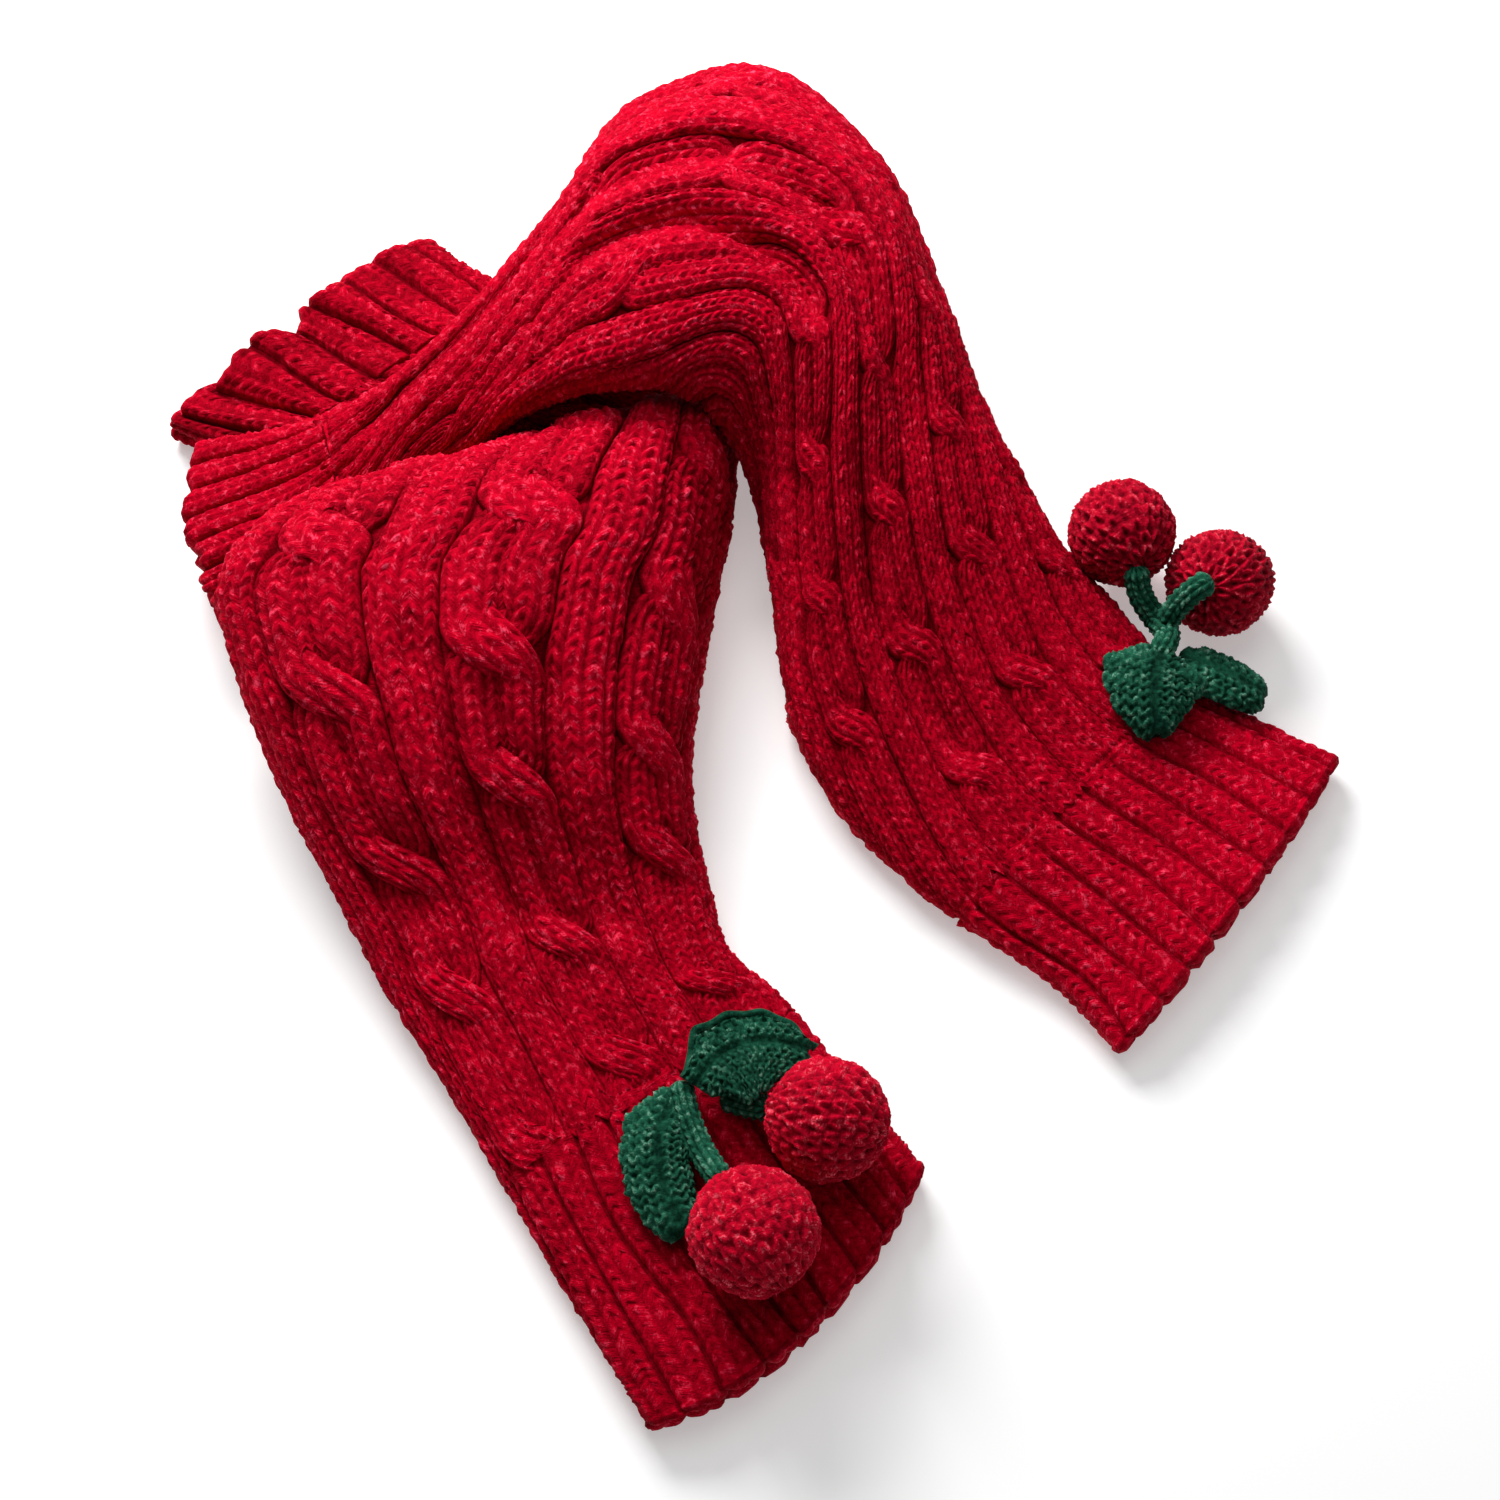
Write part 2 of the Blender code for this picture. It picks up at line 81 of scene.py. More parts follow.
RIB_TURN = 1.15         # how far the outer stitches of a rib turn down, in radians
CABLE_TURN = 1.2        # the same for a cable's strand
CROSSING_SPAN = 4.6     # how many rows two strands take to cross
CORNER_POWER = 2.2      # how steeply a hem is drawn in towards its corners
HEM_REACH = 30.0        # how far from a hem that can be felt
SEAM_REACH = 13.0       # how far from a cuff the leg's valleys run over into those between ribs
RIM_TURN = (0.6, 1.2, 1.9, 2.5)     # angles at which a rim is drawn, from the right side to the wrong side
CLEAR = 0.05            # how far over the floor the lowest cloth lies
CORD_RADIUS = 3.7       # to about the middle of its stitches
CORD_STITCH = 1.1       # how far the stitches of a cord stand out
CORD_ROW = 2.6          # their height
LEAF_THICK = 2.8        # without its stitches
LEAF_STITCH = 1.2       # how far the stitches of a leaf stand out

# ---- stage, in metres ----
# name, size, power in watts, place
LAMPS = (("window", (0.5, 0.35), 13.2, (-0.28, 0.68, 0.60)), ("sky", (1.0, 1.0), 6.0, (0.0, 0.5, 1.5)))
FLOOR_HALF = 15.0       # half the width of the paper that the pair lies on
FLOOR_DROP = 0.0004     # how far it lies under the cloth
CAMERA = (0.0030, -0.33065, 0.71256)
CAMERA_TILT = 24.0      # degrees from straight down
WHITE = (1.0, 1.0, 1.0, 1.0)

# ---- the form of the two leg warmers, as in the solid model ----
# lx ly rx ry: the two edges; low_l low_r: underside at them; ledge, crown, lean, edge: shape of the section
CROSSING_LEG = (
    ("lower_hem", 111, -115, 182, -24, 0, 0, 1.0, 15, 0.0, 7),
    ("lower_rib", 94, -94, 156, -10, 0, 0, 1.0, 16, 0.0, 7),
    ("rib_top", 66, -74, 138, -1, 0, 0, 1.0, 20, 0.0, 8),
    ("calf", 38, -49, 116, 26, 0, 0, 1.0, 26, 0.0, 9),
    ("slope", 18, -14, 96.5, 53, 0, 0, 1.0, 37, 0.0, 11),
    ("neck", 12, 24, 81, 86, 0, 0, 1.0, 50, -0.1, 12),
    ("bend_in", 6, 62, 67, 124, 10, 0, 1.0, 63, -0.2, 14),
    ("bend", -8, 76, 50, 174, 34, 0, 1.0, 71, -0.3, 14),
    ("top", -26, 77, 12, 210, 46, 0, 1.0, 74, -0.35, 14),
    ("bend_out", -46, 75, -27, 200, 46, 0, 1.0, 71, -0.3, 14),
    ("shoulder", -66, 71, -54, 158, 40, 4, 1.0, 60, -0.1, 12),
    ("pinch_in", -82, 66, -79, 122, 26, 16, 1.0, 49, 0.0, 10),
    ("pinch", -97, 62, -102, 98, 17.9, 16, 1.0, 40, 0.1, 10),
    ("fan", -115, 36, -128, 84, 5, 16, 1.0, 31, 0.45, 8),
    ("upper_hem", -151, 3, -174, 75, 0, 15, 1.0, 26, 0.35, 7),
)
FRONT_LEG = (
    ("lower_hem", -17, -229, 59, -154, 0, 0, 1.0, 15, 0.0, 7),
    ("lower_rib", -43, -184, 34, -124, 0, 0, 1.0, 16, 0.0, 7),
    ("rib_top", -63, -153, 17, -102, 0, 0, 1.0, 18, 0.0, 7),
    ("shelf", -97, -99, -3, -81, 0, 0, 1.0, 23, 0.0, 8),
    ("crease", -111, -76, -7, -66, 0, 0, 1.0, 29, 0.0, 9),
    ("face", -128, -48, -12, -42, 0, 0, 1.0, 45, 0.0, 12),
    ("brow", -146, -5, -11, -4, 12, 0, 0.3, 60, 0.0, 16),
    ("crest", -151, 20, -6, 30, 23, 0, 0.5, 64, 0.1, 14),
    ("back", -136, 38, -1, 56, 27, 0, 0.4, 60.4, 0.1, 16),
    ("fold", -109, 50.5, 0, 84, 29, 0, 0.25, 48.4, 0.1, 16),
    ("dive", -93, 60, -6, 108, 0, 0, 1.0, 17.5, 0.0, 7),
    ("under", -106, 72, -34, 122, 0, 0, 1.0, 14, 0.0, 6),
    ("upper_rib", -148, 78, -70, 142, 0, 0, 1.0, 14, 0.0, 6),
    ("upper_hem", -183, 90, -100, 166, 0, 0, 1.0, 16, 0.0, 6),
)
# from_along from_across to_along to_across width depth
CROSSING_FOLDS = (
    (150, 0.30, 345, 0.05, 7, 7.0), (215, -0.22, 335, -0.30, 5, 7.5), (230, 0.72, 320, 0.62, 7, 5.0),
    (75, -0.35, 190, -0.25, 6, 4.5), (340, 0.35, 430, 0.30, 5, 4.0),
)
FRONT_FOLDS = (
    (118, -0.08, 235, -0.22, 5, 5.0), (118, 0.42, 225, 0.38, 5, 5.0), (125, 0.12, 215, 0.10, 4, 3.0),
    (120, 0.75, 185, 0.72, 5, 3.5), (130, -0.55, 215, -0.62, 5, 3.0),
)
# along, width units on the top half, the unit in the middle of the top
CROSSING_LAY = (
    (0, 36, 31.0), (55, 39, 31.2), (80, 46, 31.8), (115, 49, 34.5), (187, 50, 39.8),
    (225, 50, 43.5), (280, 45, 38.0), (330, 43, 37.5), (404, 38, 37.0), (500, 36, 37.0),
)
FRONT_LAY = (
    (0, 36, 37.5), (60, 36, 37.8), (90, 36, 39.2), (125, 36, 40.6), (220, 36, 41.2), (500, 36, 41.4),
)
# corner depth, and (across, depth, width) of each notch, for the lower and the upper hem
CROSSING_HEMS = ((3.0, ()), (11.0, ((-0.1, 3.0, 0.12), (0.55, 2.5, 0.10))))
FRONT_HEMS = ((11.0, ()), (5.0, ((-0.05, 7.0, 0.10), (0.25, 2.0, 0.10), (-0.55, 2.5, 0.10))))
# along, height of a row of stitches
CROSSING_ROWS = ((0, 3.5), (80, 3.4), (190, 3.4), (260, 3.7), (330, 3.6), (500, 3.4))
FRONT_ROWS = ((0, 3.5), (110, 3.5), (150, 3.7), (205, 4.2), (240, 4.4), (290, 4.2), (350, 3.7), (500, 3.5))
# the repeat that a cable lies in, and where along the leg its strands cross
CROSSING_CABLES = (
    (1, (74, 112, 150, 188, 228, 268, 308, 348, 388)), (2, (91, 131, 169, 207, 246, 286, 326, 366, 406)),
    (3, (81, 120, 159, 198, 238, 278, 318, 358, 398)), (4, (114, 151, 188, 222, 300, 342, 382)),
    (5, (96, 136, 176)),
)
FRONT_CABLES = (
    (1, (96, 136, 176, 222, 268, 314, 354)), (2, (100, 155, 191, 238, 284, 326, 366)),
    (3, (88, 128, 177, 216, 260, 306, 350)), (4, (80, 119, 155, 206, 254, 300, 344)),
)

# along; the shares of the full relief that the valleys, the crossing strands, the stitches and the small
# steps between their rows have there; and how much painted shade lies there, negative values painting light
CROSSING_RELIEF = (
    (0, 0.42, 0.6, 0.60, 0.75, 0.05), (50, 0.45, 0.5, 0.60, 0.7, 0.09), (100, 0.75, 0.30, 0.62, 0.5, 0.25),
    (200, 0.85, 0.28, 0.66, 0.5, 0.25), (240, 0.9, 0.30, 0.72, 0.6, -0.03),
    (285, 0.85, 0.3, 0.75, 0.65, -0.13),
    (400, 0.8, 0.25, 0.65, 0.6, 0.0), (500, 0.75, 0.2, 0.6, 0.6, 0.08),
)
FRONT_RELIEF = (
    (0, 0.62, 0.8, 0.60, 0.5, 0.27), (60, 0.36, 0.8, 0.62, 0.5, 0.20), (125, 0.42, 0.8, 0.7, 0.5, 0.09),
    (150, 0.9, 0.75, 0.7, 0.45, 0.06), (200, 0.95, 0.70, 0.8, 0.45, 0.0), (240, 0.9, 0.62, 0.82, 0.6, -0.06),
    (275, 0.9, 0.58, 0.84, 1.0, -0.08), (300, 0.9, 0.55, 0.85, 1.0, -0.08), (400, 0.9, 0.6, 0.65, 0.8, 0.12),
    (450, 0.9, 0.6, 0.65, 0.8, 0.36),
)

# all that each leg warmer is made from
CROSSING = (CROSSING_LEG, CROSSING_FOLDS, CROSSING_HEMS, CROSSING_LAY, CROSSING_ROWS, CROSSING_RELIEF)
FRONT = (FRONT_LEG, FRONT_FOLDS, FRONT_HEMS, FRONT_LAY, FRONT_ROWS, FRONT_RELIEF)

# ---- trimmings ----
# middle, radius, pole, and how much painted shade lies on the ball, negative values painting light
CHERRIES = (
    ("crossing_cherry_near_leg", (118.2, 45.8, 20.8), 16.4, (0.35, -0.9, 0.3), 0.14),
    ("crossing_cherry_far", (147.6, 31, 16.5), 16.4, (-0.45, -0.5, 0.75), 0.12),
    ("front_cherry_upper", (26, -141, 31.3), 17.0, (-0.9, 0.3, -0.2), -0.06),
    ("front_cherry_lower", (6, -172, 33.5), 17.6, (-0.45, 0.9, -0.1), -0.10),
)
# the way that each cord takes
STEMS = (
    ("crossing_stem_trunk", (
        (120.6, 31.5, 26.5), (123.2, 25, 19), (128, 19, 15), (130, 12, 20), (128, 6, 24), (125, 1, 25),
    )),
    ("crossing_stem_branch", ((142, 23, 34.0), (137.5, 21, 31.8), (133.5, 19, 27.2), (129.8, 16, 19.5))),
    ("front_stem_lower", ((-14.5, -128, 23.5), (-12.5, -137, 23.5), (-8.5, -147, 24), (-2.5, -157, 26.5))),
    ("front_stem_upper", ((-3, -131, 20.2), (3, -133.2, 21), (10.4, -135.8, 24.5))),
)
# base, middle and tip of the midrib, half width, droop of the edges, roll of the leaf and curl of one edge in
# degrees, and how blunt the tip is
LEAVES = (
    ("crossing_leaf_front", (127, 3, 25), (121.5, -7, 27.5), (124.5, -22, 22.5), 15.0, 3.5, 0, 0, 2.6),
    ("crossing_leaf_back", (133, 5, 17), (146, -1, 18.5), (158, -6, 13.5), 8, 4, 20, 60, 6.0),
    ("front_leaf_upper", (-10, -130, 26), (0, -114, 31), (21, -120.5, 27), 15.5, 1, 0, 150, 4.0),
    ("front_leaf_lower", (-14.5, -131, 21.4), (-26, -148, 25), (-13, -169, 21), 9.5, 4, 0, 60, 5.0),
)


def smooth(low, high, value):
    """0 below low, 1 above high, and a soft step between."""
    t = np.clip((value - low) / (high - low), 0.0, 1.0)
    return t * t * (3.0 - 2.0 * t)


def spline(knots, values, at):
    """A smooth curve through the rows of values, which stand at the knots."""
    knots = np.asarray(knots, float)
    values = np.asarray(values, float)
    at = np.clip(np.asarray(at, float), knots[0], knots[-1])
    step = np.diff(knots)[:, None]
    rise = np.diff(values, axis=0) / step
    slope = np.empty_like(values)
    slope[0], slope[-1] = rise[0], rise[-1]
    slope[1:-1] = (rise[:-1] * step[1:] + rise[1:] * step[:-1]) / (step[:-1] + step[1:])
    i = np.clip(np.searchsorted(knots, at, side="right") - 1, 0, len(knots) - 2)
    h = step[i]
    t = (at - knots[i])[:, None] / h
    return (
        (2 * t**3 - 3 * t**2 + 1) * values[i] + (t**3 - 2 * t**2 + t) * h * slope[i]
        + (3 * t**2 - 2 * t**3) * values[i + 1] + (t**3 - t**2) * h * slope[i + 1]
    )


def travelled(points):
    """How far along a line each of its points lies."""
    return np.append(0.0, np.cumsum(np.linalg.norm(np.diff(points, axis=0), axis=1)))


def of_length_one(vectors, least=0.0):
    """The directions of some vectors; least keeps those of no length from failing."""
    return vectors / (np.linalg.norm(vectors, axis=-1, keepdims=True) + least)


def crown_line(rows):
    """The line midway between the two edges of the sections, as high as their crowns."""
    return np.stack([rows[:, 0] + rows[:, 2], rows[:, 1] + rows[:, 3], 2 * rows[:, 7]], 1) / 2


# the shares of the full relief and the painted shade at some places, as in the tables
Relief = namedtuple("Relief", "valleys crossings stitches steps nap")


class LegWarmer:
    """The form of one leg warmer, and where its rows of stitches lie."""

    STATIONS = 361      # rows of the tables along the tube
    POINTS = 241        # points of a row
    ANGLES = 289        # places round a section, before they are spread evenly
    FINE = 600          # places along the middle line
    COUNTS = 400        # places at which the rows of stitches are counted
    LAYS = 200          # places at which it is worked out how the units lie round the tube
    DOME = 2.3          # the power of the arch from edge to edge; 2 is round

    def __init__(self, sections, folds, hems, lay, rows, relief):
        self.names = [row[0] for row in sections]
        self.folds, self.hems = folds, hems
        self.lay, self.relief = np.array(lay, float), np.array(relief, float)
        self.values = np.array([row[1:] for row in sections], float)
        self.knots = travelled(crown_line(self.values))
        self.fine = np.linspace(0.0, self.knots[-1], self.FINE)
        self.travel = travelled(crown_line(spline(self.knots, self.values, self.fine)))
        self.length = float(self.travel[-1])
        self.inner = self.table(WALL)
        self.outer = self.table(0.0)
        self.normal = self.normals()
        heights = np.array(rows, float)
        self.count_at = np.linspace(0.0, self.length, self.COUNTS)
        each = np.interp(self.count_at, heights[:, 0], heights[:, 1])
        self.count = np.append(0.0, np.cumsum(np.diff(self.count_at) / ((each[1:] + each[:-1]) / 2)))

    def along(self, name):
        """How far along the crown the named section lies."""
        return float(np.interp(self.knots[self.names.index(name)], self.fine, self.travel))

    def table(self, inset):
        """Rows of points evenly spaced round the tube: x, y, z, across, and from -1 under it to 1 on top."""
        along = np.linspace(0.0, self.length, self.STATIONS)
        row = spline(self.knots, self.values, np.interp(along, self.travel, self.fine))
        lx, ly, rx, ry, low_l, low_r, ledge, crown, lean, edge = (row[:, i:i + 1] for i in range(10))
        angle = np.linspace(0.0, 2 * math.pi, self.ANGLES)[None, :]
        across = np.sign(np.sin(angle)) * np.abs(np.sin(angle)) ** 0.8
        upper = -np.cos(angle)
        half = np.hypot(rx - lx, ry - ly) / 2
        reach = across * (half - inset) / half
        x = (lx + rx) / 2 + (rx - lx) / 2 * reach
        y = (ly + ry) / 2 + (ry - ly) / 2 * reach
        straight = low_l + (low_r - low_l) * (across + 1) / 2
        stepped = low_l + (low_r - low_l) * smooth(2 * ledge - 1.25, 2 * ledge - 0.75, across)
        low = np.maximum(np.where(ledge > 0.97, straight, stepped), 0.0)
        side = np.where(across < lean, (lean - across) / (1 + lean), (across - lean) / (1 - lean))
        edge_z = np.where(across < 0, low_l, low_r) + edge
        edge_z = edge_z + (low + edge - edge_z) * (1 - np.abs(across)) ** 0.3
        dome = np.clip(1 - np.abs(side) ** self.DOME, 0, 1) ** (1 / self.DOME)
        press = self.press(along[:, None], across, half) * np.clip(dome * 1.4 - 0.3, 0, 1)
        top = edge_z + np.maximum(crown - press - inset - edge_z, 0.5) * dome
        flat = np.minimum(1.03 * np.clip(1 - np.abs(across) ** 5, 0, 1) ** 0.2, 1.0)
        under = edge_z - (edge_z - low - inset) * flat
        z = np.where(upper >= 0, top, under)
        points = np.stack([x, y, z, across + 0 * x, upper + 0 * x], -1)
        travel = np.linalg.norm(np.diff(points[:, :, :3], axis=1), axis=2).cumsum(axis=1)
        self.girth = travel[:, -1]
        share = np.linspace(0.0, 1.0, self.POINTS)
        even = np.empty((self.STATIONS, self.POINTS, 5))
        for i, ring in enumerate(points):
            done = np.append(0.0, travel[i]) / travel[i, -1]
            for k in range(5):
                even[i, :, k] = np.interp(share, done, ring[:, k])
        return even

    def normals(self):
        """The outward direction at each point of the outer table, evened out a little."""
        ring = self.outer[:, :-1, :3]
        round_it = np.roll(ring, -1, axis=1) - np.roll(ring, 1, axis=1)
        normal = of_length_one(np.cross(round_it, np.gradient(ring, axis=0)), 1e-9)
        outward = ((ring - self.inner[:, :-1, :3]) * normal).sum()
        normal *= 1.0 if outward > 0 else -1.0
        for _pass in range(3):
            normal = normal + np.roll(normal, 1, axis=1) + np.roll(normal, -1, axis=1)
            padded = np.concatenate([normal[:1], normal, normal[-1:]])
            normal = of_length_one(padded[:-2] + padded[1:-1] + padded[2:], 1e-9)
        return np.concatenate([normal, normal[:, :1]], axis=1)

    def press(self, along, across, half):
        """How deep the folds press into the top."""
        depth = 0.0 * (along + across)
        for from_along, from_across, to_along, to_across, width, deep in self.folds:
            share = (along - from_along) / (to_along - from_along)
            line = from_across + (to_across - from_across) * share
            fade = smooth(0.0, 0.18, share) * smooth(1.0, 0.82, share)
            depth = depth + fade * deep * np.exp(-((across - line) * half / width) ** 2)
        return depth

    def look(self, table, along, around):
        """Reads a table between its rows and points."""
        i = np.clip(along / self.length, 0.0, 1.0) * (self.STATIONS - 1)
        j = (around % 1.0) * (self.POINTS - 1)
        i0 = np.minimum(i.astype(int), self.STATIONS - 2)
        j0 = np.minimum(j.astype(int), self.POINTS - 2)
        a, b = (i - i0)[..., None], (j - j0)[..., None]
        return (
            (table[i0, j0] * (1 - b) + table[i0, j0 + 1] * b) * (1 - a)
            + (table[i0 + 1, j0] * (1 - b) + table[i0 + 1, j0 + 1] * b) * a
        )

    def share(self, along, unit):
        """How far round the tube a place lies, from 0 to 1, starting from the middle of the underside."""
        flat = np.linspace(0.0, self.length, self.LAYS)
        on_top, middle = spline(self.lay[:, 0], self.lay[:, 1:], flat).T
        half = np.interp(along, flat, on_top) / 2
        off = (unit - np.interp(along, flat, middle) + ROUND / 2) % ROUND - ROUND / 2
        under = 0.25 + 0.25 * (np.abs(off) - half) / (ROUND / 2 - half)
        return 0.5 + np.where(np.abs(off) < half, 0.25 * off / half, np.sign(off) * under)

    def relief_at(self, along):
        """The relief of the knitting there."""
        return Relief(*(np.interp(along, self.relief[:, 0], column) for column in self.relief.T[1:]))

    def unit_width(self, along):
        """The width of one unit on the top, in millimetres."""
        on_top = np.interp(along, self.lay[:, 0], self.lay[:, 1])
        return np.interp(along, np.linspace(0, self.length, self.STATIONS), self.girth) / 2 / on_top

    def drawn_in(self, along, around):
        """Places along the tube, moved in where a hem has its corners and notches."""
        across = self.look(self.outer, along, around)[..., 3]
        for (corner, notches), gone, inward in zip(self.hems, (along, self.length - along), (1, -1)):
            back = corner * np.abs(across) ** CORNER_POWER
            for at, deep, width in notches:
                back = back + deep * np.exp(-((across - at) / width) ** 2)
            along = along + inward * back * smooth(HEM_REACH, 0.0, gone)
        return along

    def place(self, along, unit, depth):
        """Points that lie so deep under the outer face; on the underside they are pressed nearly flat."""
        around = self.share(along, unit)
        along = self.drawn_in(along, around)
        outer = self.look(self.outer, along, around)
        carries = smooth(-0.85, -0.45, outer[..., 4])
        pressed = 0.8 + 0.12 * (depth - 0.8)
        depth = depth * carries + pressed * (1 - carries)
        points = outer[..., :3] - self.look(self.normal, along, around) * depth[..., None]
        points[..., 2] = np.maximum(points[..., 2], CLEAR)
        return points

    def lining(self, along, unit):
        """Points on the wrong side of the knitting."""
        around = self.share(along, unit)
        along = self.drawn_in(along, around)
        outer = self.look(self.outer, along, around)[..., :3]
        inner = self.look(self.inner, along, around)[..., :3]
        return outer + (inner - outer) * LINING / WALL

    def rows_between(self, start, end):
        """How many whole rows fit between two places, and where along the leg row r of them lies."""
        first, last = np.interp([start, end], self.count_at, self.count)
        number = int(round(last - first))

        def at(row):
            wanted = first + (last - first) * np.asarray(row, float) / number
            inside = np.interp(wanted, self.count, self.count_at)
            before, after = np.minimum(wanted - self.count[0], 0), np.maximum(wanted - self.count[-1], 0)
            return inside + before * ROW + after * ROW
        return number, at


# ---- stitches ----
def ripple(a, b, seed):
    """A soft wandering value of about -1 to 1, the same on every run."""
    total = 0.0
    for k in range(4):
        phase = seed * 1.7 + k * 2.1
        total = total + np.sin(a * (0.31 + 0.23 * k) + phase) * np.cos(b * (0.27 + 0.19 * k) - 1.3 * phase)
    return total / 2.2


def stitch_height(across, step, plump, rows):
    """The relief of one stitch, 0 to 1: two slanting plump legs with a small hole where they meet."""
    half = np.abs(2 * across - 1)
    leg = np.clip(np.sin(np.pi * (0.14 + 0.86 * half)), 0, 1) ** 0.9
    body = np.clip(np.sin(np.pi * np.clip(0.05 + 0.9 * step, 0, 1)), 0, 1) ** 0.75
    hole = np.exp(-((half / 0.30) ** 2) - (np.minimum(step, 1 - step) / 0.26) ** 2)
    between = np.exp(-(((1 - half) / 0.2) ** 2))
    return leg * (1 - rows * (1 - body)) * plump - 0.6 * hole * rows - 0.4 * (1 - rows) * between


def rib_profile(unit):
    """How deep the ribs of a cuff lie at a place round the tube, as a share."""
    off = np.abs((unit - RIB_FIRST + RIB / 2) % RIB - RIB / 2) / RIB_HALF
    return np.minimum(off, 1.0) ** 3.0


def near_ends(along, start, end):
    """1 at the two ends of a stretch, and 0 a few rows away from them."""
    return smooth(SEAM_REACH, 0.0, np.minimum(along - start, end - along))


def tube_mesh(points, pattern, painted_shade_and_tone, capped=False, crisp=()):
    """A closed mesh from rows of points, whose first and last column meet.

    The first and last row meet too, unless it is capped. The rows in crisp are turned sharply.
    """
    rows, columns = points.shape[:2]
    grid = bmesh.new()
    bmesh.ops.create_grid(grid, x_segments=columns - 1, y_segments=rows - 1, size=1.0)
    mesh = bpy.data.meshes.new("knitting")
    grid.to_mesh(mesh)
    grid.free()
    mesh.vertices.foreach_set("co", ((points - MIDDLE) * MM).astype(np.float32).ravel())
    # the second attribute carries the painted shade to the material, with a random tone for each stitch of
    # the knitting
    for name, kind, field, values in (
        ("stitches", "FLOAT_VECTOR", "vector", pattern), ("painted_shade_and_tone", "FLOAT", "value", painted_shade_and_tone),
    ):
        layer = mesh.attributes.new(name, kind, "POINT")
        layer.data.foreach_set(field, np.ascontiguousarray(values, dtype=np.float32).ravel())
    bm = bmesh.new()
    bm.from_mesh(mesh)
    bpy.data.meshes.remove(mesh)
    sharp = {row % rows for row in crisp}
    for edge in bm.edges if sharp else ():
        first, second = (vert.index // columns for vert in edge.verts)
        edge.smooth = not (first == second and first in sharp)
    bmesh.ops.remove_doubles(bm, verts=bm.verts, dist=1e-7)
    if capped:
        bmesh.ops.holes_fill(bm, edges=[edge for edge in bm.edges if edge.is_boundary], sides=0)
    if bm.calc_volume(signed=True) < 0:
        bmesh.ops.reverse_faces(bm, faces=bm.faces)
    return bm


def new_object(name, data):
    """An object put into the scene."""
    made = bpy.data.objects.new(name, data)
    bpy.context.scene.collection.objects.link(made)
    return made


def fibres_of(*parts):
    """The three coordinates that the yarn's fibres follow, for all points of a mesh."""
    return np.stack(np.broadcast_arrays(*parts), -1)


def as_piece(name, parts, material):
    """One smooth-shaded piece from one or more closed meshes."""
    mesh = bpy.data.meshes.new(name)
    whole = bmesh.new()
    for part in parts:
        part.to_mesh(mesh)
        part.free()
        whole.from_mesh(mesh)
    whole.to_mesh(mesh)
    whole.free()
    mesh.materials.append(material)
    mesh.shade_smooth()
    piece = new_object(name, mesh)
    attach(piece, "root")
    return piece


# where round the tube, 0 to 1 across its stitch, which stitch, how deep, and 0 on plain ground
Column = namedtuple("Column", "unit across stitch depth relief")


def stitch_columns(middle, half, stitches, curl, first):
    """The mesh columns of a few stitches side by side, whose outer ones curl down."""
    found = []
    for k in range(stitches * COLUMNS + 1):
        share = 2 * k / (stitches * COLUMNS) - 1
        bent = math.sin(share * RIB_TURN) / math.sin(RIB_TURN)
        across = (k % COLUMNS) / COLUMNS
        stitch = first + min(k // COLUMNS, stitches - 1)
        found.append(Column(middle + half * bent, across, stitch, curl * abs(share) ** 3.0, 1.0))
    return found


def cabled_columns():
    """All round a leg: plain columns of four stitches, and the purl ground under the cables."""
    columns = []
    for repeat in range(ROUND // REPEAT):
        start = repeat * REPEAT
        for unit in (-0.05, 0.5, 1.6, CABLE, 5.0, 6.1, 6.65):
            columns.append(Column(start + unit, 0.0, 0, GROUND, 0.0))
        columns += stitch_columns(start + PLAIN, PLAIN_HALF, 4, GROUND - 0.3, repeat * 9)
    return columns


def rib_columns():
    """All round a cuff: ribs of two stitches with a purl valley between them."""
    columns = []
    for rib in range(int(ROUND / RIB)):
        middle = RIB_FIRST + rib * RIB
        columns += stitch_columns(middle, RIB_HALF, 2, RIB_DEPTH, rib * 4)
        columns.append(Column(middle + RIB / 2, 0.0, 0, RIB_DEPTH + 0.2, 0.0))
    return columns


def thin_out(leg, columns, start, end):
    """Leaves out the finer columns where the tube lies on its underside."""
    middle = (start + end) / 2
    kept = []
    for k, column in enumerate(columns):
        spots = leg.share(np.array([start, middle, end]), column.unit)
        around = leg.look(leg.outer, np.array([start, middle, end]), spots)[:, 4]
        if around.max() > -0.75 or column.relief == 0 or k % (COLUMNS // 2) == 0:
            kept.append(column)
    return kept


def stitch_rows(leg, start, end, across, raised, fading):
    """How many rows lie between two places, the rows of the mesh, how far along their points are, and a fade.

    The fade levels the slant of the stitches out within so many rows of the ends.
    """
    number, at = leg.rows_between(start, end)
    row = np.linspace(0.0, number, number * STEPS + 1)[:, None]
    fade = smooth(0.0, fading, row) * smooth(number, number - fading, row) if fading else 1.0
    lift = SLANT * (0.5 - np.abs(across - 0.5)) * 2 * raised
    return number, row, at(row + (lift - SLANT / 2) * fade), fade


def of_stitch(row, stitch):
    """Which row and which stitch each point of the mesh belongs to."""
    return np.floor(row + 0.5).astype(int), stitch + 0 * row.astype(int)


def darkness(ground, share, height, raised, here):
    """Painted shade: dark where the ground lies deep, beside the plump legs of a stitch, and as set for the
    place.
    """
    dark = np.clip(ground / (GROUND + 0.4), 0, 1) ** 1.3 * share + 0.15 * (1 - raised)
    return dark + (1 - np.clip(height, 0, 1)) * 0.66 * here.stitches * raised + here.nap


